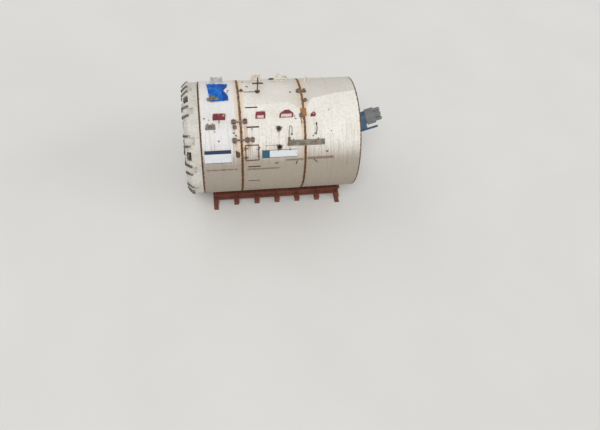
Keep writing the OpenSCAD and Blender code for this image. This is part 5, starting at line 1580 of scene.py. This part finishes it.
class MACHINE_OT_hatch_fittings(bpy.types.Operator):
    """Hinges, dogs and bolts round the hatch in the middle shield"""

    bl_idname = "machine.hatch_fittings"
    bl_label = "Hatch Fittings"

    def execute(self, context):
        x0, x1 = low("hatch_frame").x, high("hatch_frame").x
        b0, b1 = HATCH_SIDES
        out = MIDDLE_R + 0.024
        bpy.ops.object.select_all(action="DESELECT")
        bpy.ops.mesh.primitive_grid_add(x_subdivisions=2, y_subdivisions=16, size=1)
        leaf = bpy.context.object
        for vert in leaf.data.vertices:
            x = (x0 + x1) / 2 + vert.co.x * (x1 - x0 - 0.07)
            vert.co = shell_point(x, (b0 + b1) / 2 - vert.co.y * (b1 - b0 - 0.5), MIDDLE_R + 0.003)
        modify(leaf, "SOLIDIFY", thickness=0.007, offset=1.0)
        finish(leaf, "hatch_leaf", "machine", "paint")
        places = [
            on_shell(x, b0 + (b1 - b0) * i / 7, out) for x in (x0 + 0.03, x1 - 0.03) for i in range(8)
        ]
        places += [on_shell(x0 + (x1 - x0) * (i + 1) / 7, b, out) for i in range(6) for b in (b0, b1)]
        parts = [repeat(bolt(0.03), places)]
        for b in (b0 + 3, b1 - 3):
            hinge = turned([(0.03, -0.09), (0.03, 0.09), (0.024, 0.095)], 12)
            parts.append(place(hinge, on_shell(x0 - 0.02, b, out + 0.01) @ spin("X", 90)))
            strap = cuboid((0.16, 0.10, 0.014), (0.08, 0, -0.012), 0.003)
            parts.append(place(strap, on_shell(x0, b, out)))
        for b in (b0 + 4, b1 - 4):
            parts.append(
                place(cuboid((0.14, 0.05, 0.03), (-0.05, 0, 0.0), 0.006), on_shell(x1, b, out))
            )
        finish(join(parts), "hatch_fittings", "machine", "rusty_steel")
        return {"FINISHED"}


class MACHINE_OT_tail_brushes(bpy.types.Operator):
    """Three rows of wire brushes inside the tail, a tuft at a time, with their clamp bars"""

    bl_idname = "machine.tail_brushes"
    bl_label = "Tail Brushes"

    def execute(self, context):
        rows = sorted(islands("tail_brushes"), key=lambda box: box[0].x)
        inside = (high("tail_brushes").z - low("tail_brushes").z) / 2
        long_way = rows[0][1].x - rows[0][0].x
        # a tuft leans in by this much from its foot to its tip, and closes up there
        lean = 0.078
        tuft = cuboid((long_way, sizes().brush, 0.022), edge=0)
        for vert in tuft.data.vertices:
            if vert.co.x > 0:
                vert.co.z = -lean * 0.98 + 0.014 * (vert.co.z > 0)
                vert.co.y *= 0.86
            else:
                vert.co.z = -0.016 - 0.016 * (vert.co.z < 0)
                vert.co.y *= 1.12
        modify(tuft, "SUBSURF", levels=1, render_levels=1, subdivision_type="SIMPLE")
        places = []
        draw = random.Random(11)
        count = int(2 * math.pi * inside / sizes().brush)
        for box in rows:
            x = middle(box).x
            for a in around(count, 0.3):
                a += draw.uniform(-0.1, 0.1)
                places.append(on_shell(x, a, inside + draw.uniform(-0.004, 0.0)))
        piece = finish(repeat(tuft, places), "tail_brush_tufts", "machine", "brush_wire")
        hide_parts("tail_brushes")
        bars = []
        for box in rows:
            x = box[0].x + 0.005
            outer, inner = inside - 0.003, inside - 0.028
            bar = cut_discs(turned([(outer, 0), (outer, 0.03), (inner, 0.034), (inner, 0)], 144))
            bars.append(place(bar, facing_tail(x, 0, 0)))
            bars.append(repeat(bolt(0.03), [facing_front(x, a, inside - 0.016) for a in around(72)]))
        finish(join(bars), "brush_clamp_bars", "machine", "dark_steel")
        return {"FINISHED"}


class MACHINE_OT_cutter_fittings(bpy.types.Operator):
    """Hub bolts and locking wedges of the disc cutters"""

    bl_idname = "machine.cutter_fittings"
    bl_label = "Disc Cutter Fittings"

    def execute(self, context):
        bolts, wedges = [], []
        for box in islands("disc_cutters"):
            spot = middle(box)
            b, r = polar(spot)
            lean = 60.0 if r > RIM_R - 0.2 else 0.0
            # local X outward on the radius, local Z out of the face
            base = Matrix.Translation(spot) @ spin("X", b) @ spin("Y", -90)
            base = base @ spin("Y", lean)
            for side in (-1, 1):
                face = base @ spin("Y", 90 * side)
                bolts += ring_on(face, 0.085, 0.094, around(6, 30))
                wedges += [base @ move(side * 0.118, y, 0.115) for y in (-0.085, 0.085)]
        piece = repeat(bolt(0.026, 0.5, False), bolts)
        finish(piece, "cutter_hub_bolts", "cutterhead", "tool_steel")
        screw = place(bolt(0.03, 0.6, False), move(0, 0, 0.018))
        wedge = join([cuboid((0.038, 0.055, 0.03), (0, 0, 0.004), 0.004), screw])
        finish(repeat(wedge, wedges), "cutter_wedges", "cutterhead", "dark_steel")
        return {"FINISHED"}


class MACHINE_OT_hardfacing(bpy.types.Operator):
    """Rows of hard weld beads on the panels, the spokes' sides and the rim"""

    bl_idname = "machine.hardfacing"
    bl_label = "Hardfacing"

    def execute(self, context):
        bead = turned([(0.009, 0), (0.014, 0.012), (0.014, 0.19), (0.009, 0.2)], 6)
        place(bead, spin("Y", 90) @ move(0, 0, -0.1))
        places = []
        rim_in = RIM_R - 0.36
        for gap in around(6, 30):
            for row in range(7):
                r = PANEL_IN_R + 0.05 + row * (rim_in - PANEL_IN_R - 0.1) / 6
                # a panel is as wide as the gap between two spokes at this radius
                reach = 30 - math.degrees(math.asin((SPOKE_HALF + 0.03) / r))
                count = max(2, int(2 * math.radians(reach) * r / 0.27))
                for k in range(count):
                    a = gap - reach + 2 * reach * (k + 0.5) / count
                    lie = spin("Z", 128 if (row + k) % 2 else 52)
                    places.append(facing_front(PANEL_X, a, r) @ lie)
        lie = spin("Z", 62)
        for a in around(12):
            for k in range(2):
                x = RIM_BACK_X - 0.16 - k * 0.22
                places += [on_shell(x, a + da + 2.4 * k, RIM_R) @ lie for da in (-7.5, -2.6, 2.6)]
        piece = rumple(repeat(bead, places), 0.002, 90, 2)
        finish(piece, "hardfacing_beads", "cutterhead", "paint", "cutter_paint")
        return {"FINISHED"}


class MACHINE_OT_head_fittings(bpy.types.Operator):
    """Foam nozzles, scraper bolts and the centre block's bolts on the cutterhead"""

    bl_idname = "machine.head_fittings"
    bl_label = "Cutterhead Fittings"

    def execute(self, context):
        guard = [(0.085, 0), (0.085, 0.03), (0.07, 0.045), (0.045, 0.05), (0.04, 0.02)]
        nozzle = turned(guard + [(0.02, 0.02), (0.018, 0.055), (0.012, 0.06)], 20)
        # one nozzle to a spoke, each at its own radius
        radii = (1.62, 1.95, 1.3, 2.3, 1.62, 2.6)
        places = [facing_front(FACE_X, a, r) for a, r in zip(around(6, 8.5), radii)]
        finish(repeat(nozzle, places), "foam_nozzles", "cutterhead", "tool_steel", "dark_steel")
        spots = []
        for box in islands("face_scrapers"):
            b, r = polar(middle(box))
            spoke = round(b / 60) * 60
            side = 1 if b > spoke else -1
            along = r * math.cos(math.radians(b - spoke))
            for shift in (-0.05, 0.05):
                # the scrapers' bolts stand 35 mm in from the spoke's edge
                point = on_shell(FACE_X - 0.035, spoke, along + shift)
                point = point @ move(0, -side * (SPOKE_HALF - 0.035), 0)
                spots.append(point @ spin("Y", -90))
        bolts = repeat(bolt(0.034, 0.6, False), spots)
        hub = low("cutter_hub").x
        centre = repeat(bolt(0.05), [facing_front(hub, a, 0.74) for a in around(24, 7.5)])
        cap = [(0.09, -0.002), (0.09, 0.02), (0.08, 0.026), (0.03, 0.026), (0.03, 0.05), (0.024, 0.055)]
        places = [facing_front(hub, a, 0.60) for a in around(4, 75)] + [facing_front(hub, 0, 0.0)]
        plugs = repeat(turned(cap, 20), places)
        finish(join([bolts, centre, plugs]), "head_bolts", "cutterhead", "tool_steel", "dark_steel")
        return {"FINISHED"}


class MACHINE_OT_drive_fittings(bpy.types.Operator):
    """Flange bolts of the main drive; ribs, end bells and terminal boxes of its motors"""

    bl_idname = "machine.drive_fittings"
    bl_label = "Main Drive Fittings"

    def execute(self, context):
        flange = (high("main_drive").z - low("main_drive").z) / 2
        rear = high("main_drive").x
        bulk = high("bulkhead").x
        parts = [repeat(bolt(0.06), [facing_tail(bulk + 0.06, a, flange - 0.055) for a in around(60)])]
        parts.append(repeat(bolt(0.05), [facing_tail(rear, a, flange - 0.2) for a in around(36, 5)]))
        motor_parts = []
        for box in islands("drive_motors"):
            b, r = polar(middle(box))
            end = box[1].x
            for k in range(9):
                rib = turned([(0.20, 0), (0.20, 0.01), (0.19, 0.012)], 28)
                motor_parts.append(place(rib, facing_tail(end - 0.38 + k * 0.036, b, r)))
            bell = turned(
                [(0.185, 0), (0.185, 0.03), (0.15, 0.07), (0.06, 0.075), (0.06, 0.10), (0.05, 0.105)],
                28,
            )
            motor_parts.append(place(bell, facing_tail(end, b, r)))
            terminal = cuboid((0.18, 0.16, 0.12), (0, 0, 0.22), 0.012)
            motor_parts.append(place(terminal, on_shell(end - 0.2, b, r)))
            foot = facing_tail(end - 0.42, b, 0) @ move(-r, 0, 0)
            motor_parts.append(repeat(bolt(0.03), ring_on(foot, 0.23, 0, around(12))))
        finish(join(parts), "drive_bolts", "machine", "dark_steel")
        finish(join(motor_parts), "motor_fittings", "machine", "machine_grey")
        return {"FINISHED"}


class MACHINE_OT_lock_fittings(bpy.types.Operator):
    """Door dogs and hand wheel, which swing with the door, and pipes on the man lock's end"""

    bl_idname = "machine.lock_fittings"
    bl_label = "Man Lock Fittings"

    def execute(self, context):
        door_low, door_high = low("lock_door"), high("lock_door")
        rear = high("man_lock").x
        radius = -door_low.y
        z = door_high.z - radius
        # the disc's outer face
        face = move(door_low.x + 0.045, 0, z) @ spin("Y", 90)
        wheel = hoop(0.14, 0.013, 28, 8)
        spokes = [cuboid((0.26, 0.02, 0.014), edge=0.003), cuboid((0.02, 0.26, 0.014), edge=0.003)]
        hub = turned([(0.03, -0.09), (0.03, 0.02), (0.02, 0.03)], 14)
        knob = place(join([wheel] + spokes + [hub]), face @ move(0, 0, 0.085))
        bolts = repeat(bolt(0.028), ring_on(face, 0.03 - radius, 0, around(16)))
        rib = turned([(radius * 0.72, 0), (radius * 0.72, 0.012), (radius * 0.70, 0.014)], 40)
        finish(join([knob, bolts, place(rib, face)]), "lock_door_fittings", "lock_door", "machine_grey")
        lock_z = (low("man_lock").z + high("man_lock").z) / 2
        lock_r = (high("man_lock").z - low("man_lock").z) / 2
        front = move(low("man_lock").x + 0.06, 0, lock_z)
        places = [front @ spin("X", a) @ move(0, 0, lock_r) for a in around(32)]
        parts = [repeat(bolt(0.034), places)]
        ring = hoop(lock_r + 0.006, 0.02, 96, 8)
        parts.append(place(ring, move(rear - 0.05, 0, lock_z) @ spin("Y", 90)))
        bends = ((0.02, 0.1), (0.07, 0.1), (0.07, -0.35), (0.0, -0.38))
        for y in (-0.42, -0.52):
            parts.append(pipe([(rear + dx, y, lock_z + dz) for dx, dz in bends], 0.02))
        gauge = turned([(0.07, 0), (0.07, 0.05), (0.06, 0.055)], 20)
        parts.append(place(gauge, move(rear, -0.46, lock_z + 0.22) @ spin("Y", 90)))
        finish(join(parts), "man_lock_fittings", "machine", "machine_grey")
        return {"FINISHED"}


def jack_places():
    """Angle and radius of each thrust jack, from its barrel."""
    return [polar(middle(box)) for box in islands("thrust_barrels")]


class MACHINE_OT_jack_fittings(bpy.types.Operator):
    """Gland rings, port blocks and oil pipes of the thrust jacks' barrels"""

    bl_idname = "machine.jack_fittings"
    bl_label = "Thrust Jack Fittings"

    def execute(self, context):
        mouth = high("thrust_barrels").x
        back = low("thrust_barrels").x
        gland = [(0.142, -0.05), (0.142, 0.018), (0.132, 0.026), (0.104, 0.026), (0.104, -0.05)]
        ring = cut_discs(turned(gland, 32))
        places = [facing_tail(mouth, b, r) for b, r in jack_places()]
        steel = [repeat(ring, places)]
        spots = [spot for here in places for spot in ring_on(here, 0.121, 0.024, around(8))]
        steel.append(repeat(bolt(0.022, 0.6, False), spots))
        finish(join(steel), "jack_glands", "machine", "machine_grey")
        block = cuboid((0.14, 0.10, 0.07), edge=0.008)
        block = join([block] + [place(bolt(0.035), move(x, 0, 0.033)) for x in (0.04, -0.04)])
        # oil ports near the mouth and near the back of each barrel, on the side of the axis
        ports = (mouth - 0.22, back + 0.25)
        inward = spin("X", 180) @ move(0, 0, 0.165)
        spots = [on_shell(x, b, r) @ inward for b, r in jack_places() for x in ports]
        lines = []
        for b, r in jack_places():
            inner = r - 0.19
            points = [
                shell_point(ports[0], b, inner),
                shell_point(mouth - 0.5, b + 0.6, inner - 0.04),
                shell_point((mouth + back) / 2, b + 0.8, inner - 0.02),
                shell_point(back + 0.4, b + 0.5, inner - 0.03),
                shell_point(ports[1], b, inner),
            ]
            lines.append(pipe(points, 0.018, 6))
        finish(repeat(block, spots), "jack_port_blocks", "machine", "dark_steel")
        finish(join(lines), "jack_oil_pipes", "machine", "machine_grey", "dark_steel")
        return {"FINISHED"}


class MACHINE_OT_shoe_pads(bpy.types.Operator):
    """Cast pads on the thrust shoes and cup rings on their rods, which move with each group"""

    bl_idname = "machine.shoe_pads"
    bl_label = "Thrust Shoe Pads"

    def execute(self, context):
        for group in ("top", "left", "bottom", "right"):
            pads = []
            rear = high("shoes_" + group).x
            for box in islands("shoes_" + group):
                b, _ = polar(middle(box))
                for da in (-5.6, -1.9, 1.9, 5.6):
                    pad = cuboid((0.03, 0.17, 0.22), edge=0.008)
                    pads.append(place(pad, on_shell(rear + 0.012, b + da, SHOE_R)))
            finish(join(pads), "shoe_pads_" + group, "thrust_" + group, "shoe_steel", "pad")
            rings = []
            front = low("shoes_" + group).x
            for box in islands("rods_" + group):
                b, r = polar(middle(box))
                cup = turned([(0.135, -0.05), (0.14, -0.02), (0.14, 0.0), (0.101, 0.0)], 28)
                rings.append(place(cup, facing_tail(front, b, r)))
            finish(join(rings), "rod_cups_" + group, "thrust_" + group, "shoe_steel")
        return {"FINISHED"}


class MACHINE_OT_artic_fittings(bpy.types.Operator):
    """Pins in the clevises, collars and oil pipes of the articulation jacks"""

    bl_idname = "machine.artic_fittings"
    bl_label = "Articulation Jack Fittings"

    def execute(self, context):
        parts = []
        for box in islands("articulation_jacks"):
            b, r = polar(middle(box))
            x0 = box[0].x
            # the short solids are the clevises
            if box[1].x - x0 < 0.3:
                pin = turned([(0.03, -0.09), (0.03, 0.09), (0.024, 0.096)], 14)
                parts.append(place(pin, on_shell(x0 + 0.05, b, r - 0.02) @ spin("X", 90)))
                continue
            for dx in (0.06, 0.62, 0.69):
                collar = turned([(0.078, -0.02), (0.082, 0), (0.078, 0.02)], 24)
                parts.append(place(collar, facing_tail(x0 + dx, b, ARTICULATION_R)))
            bends = [
                (0, 0, -0.06), (0, 0, -0.14), (0.25, 0.02, -0.16), (0.5, 0, -0.13), (0.5, 0, -0.06)
            ]
            parts.append(place(pipe(bends, 0.014, 6), on_shell(x0 + 0.08, b, ARTICULATION_R)))
        finish(join(parts), "articulation_fittings", "machine", "machine_grey")
        return {"FINISHED"}


class MACHINE_OT_erector_fittings(bpy.types.Operator):
    """Rack teeth, bolts, motor ribs, rollers and pads of the segment erector"""

    bl_idname = "machine.erector_fittings"
    bl_label = "Erector Fittings"

    def execute(self, context):
        ring_r = (high("erector_ring").z - low("erector_ring").z) / 2
        x0, x1 = low("erector_ring").x, high("erector_ring").x
        tooth = cuboid((x1 - x0 - 0.06, 0.030, 0.012), (0, 0, 0.002), 0.003)
        teeth = repeat(tooth, [on_shell((x0 + x1) / 2, a, ring_r) for a in around(180)])
        bolts = repeat(bolt(0.045), [facing_tail(x1, a, ring_r - 0.07) for a in around(60, 3)])
        inner = repeat(bolt(0.036), [facing_front(x0, a, ring_r - 0.10) for a in around(60, 3)])
        finish(
            join([teeth, bolts, inner]),
            "erector_ring_teeth",
            "erector_ring",
            "erector_yellow",
            "dark_steel",
        )
        guide_parts = []
        for box in islands("erector_guides"):
            spot, size = middle(box), box[1] - box[0]
            for z in (box[0].z + 0.05, box[1].z - 0.05):
                guide_parts.append(
                    cuboid((size.x + 0.03, size.y + 0.03, 0.06), (spot.x, spot.y, z), 0.008)
                )
            side = -1 if spot.y < 0 else 1
            jack = [
                (0.055, -0.28), (0.055, 0.22), (0.045, 0.23), (0.03, 0.23), (0.03, 0.27), (0.02, 0.28)
            ]
            guide_parts.append(turned(jack, 18, (spot.x, spot.y + side * 0.21, spot.z)))
            guide_parts.append(
                cuboid((0.12, 0.14, 0.06), (spot.x, spot.y + side * 0.19, spot.z - 0.18), 0.008)
            )
            rear = move(box[1].x, spot.y, spot.z)
            places = [
                rear @ move(0, dy, dz) @ spin("Y", 90)
                for dy in (-0.09, 0.09)
                for dz in (-0.25, -0.08, 0.08, 0.25)
            ]
            guide_parts.append(repeat(bolt(0.036), places))
        finish(join(guide_parts), "erector_guide_fittings", "erector_ring", "erector_yellow")
        motor_parts = []
        motor_r = ring_r + 0.112
        motor_x = x0 - 0.20
        for a in (48, -48):
            for k in range(8):
                rib = turned([(0.162, 0), (0.162, 0.012), (0.15, 0.014)], 28)
                motor_parts.append(place(rib, facing_tail(motor_x - 0.30 + k * 0.034, a, motor_r)))
            cap = turned([(0.14, 0), (0.14, 0.03), (0.09, 0.06), (0.05, 0.065)], 24)
            motor_parts.append(place(cap, facing_front(motor_x - 0.40, a, motor_r)))
            block = cuboid((0.16, 0.14, 0.10), (motor_x - 0.18, 0, 0.18), 0.012)
            motor_parts.append(place(block, on_shell(0, a, motor_r)))
            tooth = cuboid((x1 - x0 + 0.05, 0.016, 0.010), (0, 0, -0.002), 0.002)
            pinion = repeat(tooth, [spin("X", c) @ move(0, 0, 0.10) for c in around(20)])
            motor_parts.append(place(pinion, on_shell((x0 + x1) / 2 - 0.09, a, motor_r)))
            flange = facing_front(x0 - 0.11, a, motor_r)
            motor_parts.append(repeat(bolt(0.034), ring_on(flange, 0.178, 0.09, around(4, 45))))
        for a in around(4, 20):
            roller = cuboid((0.10, 0.20, 0.16), edge=0.012)
            motor_parts.append(place(roller, on_shell(x0 - 0.075, a, ring_r - 0.24)))
        front = low("erector_carriage").x + 0.4
        places = [facing_front(front, a, CARRIAGE_FLANGE_R) for a in around(40, 4)]
        motor_parts.append(repeat(bolt(0.04), places))
        finish(join(motor_parts), "erector_motors", "erector_carriage", "erector_yellow")
        x_mid = (low("erector_head").x + high("erector_head").x) / 2
        sole = low("erector_head").z + 0.02
        pads = [cuboid((0.26, 0.22, 0.05), (x_mid, y, sole), 0.012) for y in (-0.30, 0.30)]
        finish(join(pads), "erector_pads", "erector_head", "erector_yellow", "rubber")
        top = AXIS_H - GRIP_DROP
        grip = [cuboid((0.10, 1.26, 0.05), (x_mid, 0, top), 0.01)]
        for side in (-1, 1):
            jack = [(0.05, -0.12), (0.05, 0.16), (0.04, 0.17)]
            grip.append(turned(jack, 18, (x_mid, side * 0.22, top + 0.05)))
            places = [move(x_mid + dx, side * 0.55, top) for dx in (-0.11, 0.11)]
            grip.append(repeat(bolt(0.036), places))
        finish(join(grip), "erector_grip", "erector_head", "erector_yellow")
        return {"FINISHED"}


def screw_reach(node):
    """How far a node reaches along the screw's axis, from where it crosses the machine's."""
    ahead = Vector((math.cos(SCREW_TILT), 0, math.sin(SCREW_TILT)))
    spots = [(vert.co - SCREW_POINT).dot(ahead) for vert in NODES[node].data.vertices]
    return min(spots), max(spots)


class MACHINE_OT_screw_fittings(bpy.types.Operator):
    """Flange bolts, hatches and motor ribs of the screw conveyor"""

    bl_idname = "machine.screw_fittings"
    bl_label = "Screw Conveyor Fittings"

    def execute(self, context):
        s_front, s_end = screw_reach("screw_casing")
        pitch = (s_end - 0.42 - s_front) / 5
        stops = [s_front + k * pitch for k in (1, 2, 3, 4)]
        flange_r = CASING_R + 0.05
        places = [on_screw(s + 0.05, a, flange_r) for s in stops for a in around(24)]
        parts = [repeat(bolt(0.036), places)]
        back = spin("X", 180)
        places = [on_screw(s - 0.05, a, flange_r) @ back for s in stops for a in around(24)]
        parts.append(repeat(bolt(0.036), places))
        seam = hoop(CASING_R + 0.088, 0.006, 72, 6)
        parts.append(repeat(seam, [on_screw(s) for s in stops]))
        for s in (stops[1] + 0.9, stops[2] + 0.9):
            hatch = cuboid((0.04, 0.34, 0.5), edge=0.008)
            parts.append(place(hatch, on_screw(s, 180, CASING_R + 0.005)))
            lie = spin("Y", 90)
            places = [
                on_screw(s + ds, 180, CASING_R + 0.025) @ move(0, dy, 0) @ lie
                for ds in (-0.2, 0, 0.2)
                for dy in (-0.13, 0.13)
            ]
            parts.append(repeat(bolt(0.03), places))
        finish(join(parts), "screw_flanges", "machine", "screw_blue")
        s_back = s_end + 0.52
        motor = [repeat(bolt(0.045), [on_screw(s_back, a, 0.43) for a in around(24, 8)])]
        for a in around(4, 45):
            for k in range(7):
                rib = turned([(0.128, 0), (0.128, 0.01), (0.12, 0.012)], 24)
                motor.append(place(rib, on_screw(s_back + 0.10 + k * 0.032, a, 0.27)))
            cap = turned([(0.11, 0), (0.11, 0.02), (0.07, 0.05), (0.03, 0.055)], 20)
            motor.append(place(cap, on_screw(s_back + 0.36, a, 0.27)))
        finish(join(motor), "screw_motor_fittings", "machine", "machine_grey")
        return {"FINISHED"}


class MACHINE_OT_cradle_fittings(bpy.types.Operator):
    """Web stiffeners and splice bolts of the cradle"""

    bl_idname = "machine.cradle_fittings"
    bl_label = "Cradle Fittings"

    def execute(self, context):
        # the anchor plates of the same node are under 3 m wide
        beams = [box for box in islands("cradle_cross_beams") if box[1].y - box[0].y > 3]
        stations = [middle(beam).x for beam in beams]
        parts = []
        for box in islands("cradle_stringers"):
            y = middle(box).y
            wide = (box[1].y - box[0].y) / 2
            tall = box[1].z - box[0].z - 0.044
            for x in stations:
                for side in (-1, 1):
                    at = (x, y + side * (wide / 2 + 0.002), middle(box).z)
                    parts.append(cuboid((0.016, wide - 0.02, tall), at, 0.003))
                foot = move(x, y, box[0].z + 0.02)
                places = [foot @ move(dx, dy, 0) for dx in (-0.10, 0.10) for dy in (-0.13, 0.13)]
                parts.append(repeat(bolt(0.036), places))
        beam_end = min(box[1].y for box in beams)
        for x in stations:
            for side in (-1, 1):
                for y in (-1.85, -0.9, 0.9, 1.85):
                    parts.append(cuboid((0.13, 0.014, 0.256), (x + side * 0.073, y, 0.15), 0.003))
                at = (x, side * (beam_end - 0.012), 0.15)
                parts.append(cuboid((0.28, 0.014, 0.256), at, 0.003))
        finish(join(parts), "cradle_stiffeners", "machine", "cradle_primer")
        return {"FINISHED"}


# Soft sunlight from the photograph's side, sky light from the far side and low light into the
# tail: name, turn in degrees, strength and spread in degrees
LAMPS = (
    ("key", (34, 8, -28), 1.2, 24),
    ("fill", (-48, 0, 40), 0.3, 60),
    ("tail", (68, 0, 74), 0.65, 40),
)

# The camera that took the photograph, in the machine's frame: metres, then yaw, pitch and roll in
# degrees, and the lens in millimetres on a 36 mm wide sensor
CAMERA_PLACE = (-4.0375, -24.585, 31.246)
CAMERA_TURN = (14.28, 55.05, 7.95)
CAMERA_LENS = 35.706


class MACHINE_OT_stage(bpy.types.Operator):
    """Pale floor, soft light and the camera"""

    bl_idname = "machine.stage"
    bl_label = "Stage"

    def execute(self, context):
        scene = context.scene
        bpy.ops.object.select_all(action="DESELECT")
        bpy.ops.mesh.primitive_plane_add(size=sizes().floor, location=(0, 0, 0))
        floor = context.object
        floor.name = "studio_floor"
        floor.data.materials.append(floor_paint())
        world = bpy.data.worlds.new("soft_sky")
        world.use_nodes = True
        feed(world.node_tree.nodes["Background"], {"Color": colour("#f3f5f8"), "Strength": 0.58})
        scene.world = world
        for name, turn, power, spread in LAMPS:
            lean = [math.radians(v) for v in turn]
            bpy.ops.object.light_add(type="SUN", location=(0, 0, 30), rotation=lean)
            lamp = context.object
            lamp.name = name
            lamp.data.energy = power
            lamp.data.angle = math.radians(spread)
        bpy.ops.object.camera_add()
        camera = context.object
        camera.name = "photo_camera"
        camera.data.sensor_width = 36.0
        camera.data.lens = CAMERA_LENS
        camera.data.clip_end = 500
        yaw, pitch, roll = (math.radians(v) for v in CAMERA_TURN)
        level = math.cos(pitch)
        ahead = Vector((math.sin(yaw) * level, math.cos(yaw) * level, -math.sin(pitch)))
        right = Vector((math.cos(yaw), -math.sin(yaw), 0))
        up = right.cross(ahead)
        rolled_right = right * math.cos(roll) + up * math.sin(roll)
        rolled_up = up * math.cos(roll) - right * math.sin(roll)
        turn = Matrix((rolled_right, rolled_up, -ahead)).transposed().to_4x4()
        camera.matrix_world = Matrix.Translation(CAMERA_PLACE) @ turn
        scene.camera = camera
        scene.view_settings.view_transform = "Standard"
        return {"FINISHED"}


STEPS = (
    MACHINE_OT_stage,
    MACHINE_OT_finish_nodes,
    MACHINE_OT_shell_welds,
    MACHINE_OT_joint_rust,
    MACHINE_OT_shell_plugs,
    MACHINE_OT_tarpaulin,
    MACHINE_OT_sandbags,
    MACHINE_OT_name_boards,
    MACHINE_OT_lug_fittings,
    MACHINE_OT_shell_stubs,
    MACHINE_OT_bracket_fittings,
    MACHINE_OT_slot_packing,
    MACHINE_OT_joint_plate,
    MACHINE_OT_loop_handle,
    MACHINE_OT_tail_chain,
    MACHINE_OT_port_bolts,
    MACHINE_OT_access_boards,
    MACHINE_OT_post_fittings,
    MACHINE_OT_hatch_fittings,
    MACHINE_OT_tail_brushes,
    MACHINE_OT_cutter_fittings,
    MACHINE_OT_hardfacing,
    MACHINE_OT_head_fittings,
    MACHINE_OT_drive_fittings,
    MACHINE_OT_lock_fittings,
    MACHINE_OT_jack_fittings,
    MACHINE_OT_shoe_pads,
    MACHINE_OT_artic_fittings,
    MACHINE_OT_erector_fittings,
    MACHINE_OT_screw_fittings,
    MACHINE_OT_cradle_fittings,
)


class MACHINE_PT_finish(bpy.types.Panel):
    """Sizes, colours and pieces of the machine"""

    bl_label = "Tunnel Boring Machine"
    bl_idname = "MACHINE_PT_finish"
    bl_space_type = "VIEW_3D"
    bl_region_type = "UI"
    bl_category = "Machine"

    def draw(self, context):
        for group in (context.scene.machine_colours, context.scene.machine_sizes):
            column = self.layout.column()
            for name in group.__annotations__:
                column.prop(group, name)
        for step in STEPS:
            self.layout.operator(step.bl_idname)


CLASSES = (MachineColours, MachineSizes, *STEPS, MACHINE_PT_finish)


def register():
    """Register the classes and the scene's settings."""
    for cls in CLASSES:
        bpy.utils.register_class(cls)
    bpy.types.Scene.machine_colours = bpy.props.PointerProperty(type=MachineColours)
    bpy.types.Scene.machine_sizes = bpy.props.PointerProperty(type=MachineSizes)


def unregister():
    """Take the settings and the classes away again."""
    del bpy.types.Scene.machine_sizes
    del bpy.types.Scene.machine_colours
    for cls in reversed(CLASSES):
        bpy.utils.unregister_class(cls)


def main():
    """Build every piece in order."""
    register()
    for step in STEPS:
        group, name = step.bl_idname.split(".")
        getattr(getattr(bpy.ops, group), name)()


if __name__ == "__main__":
    main()
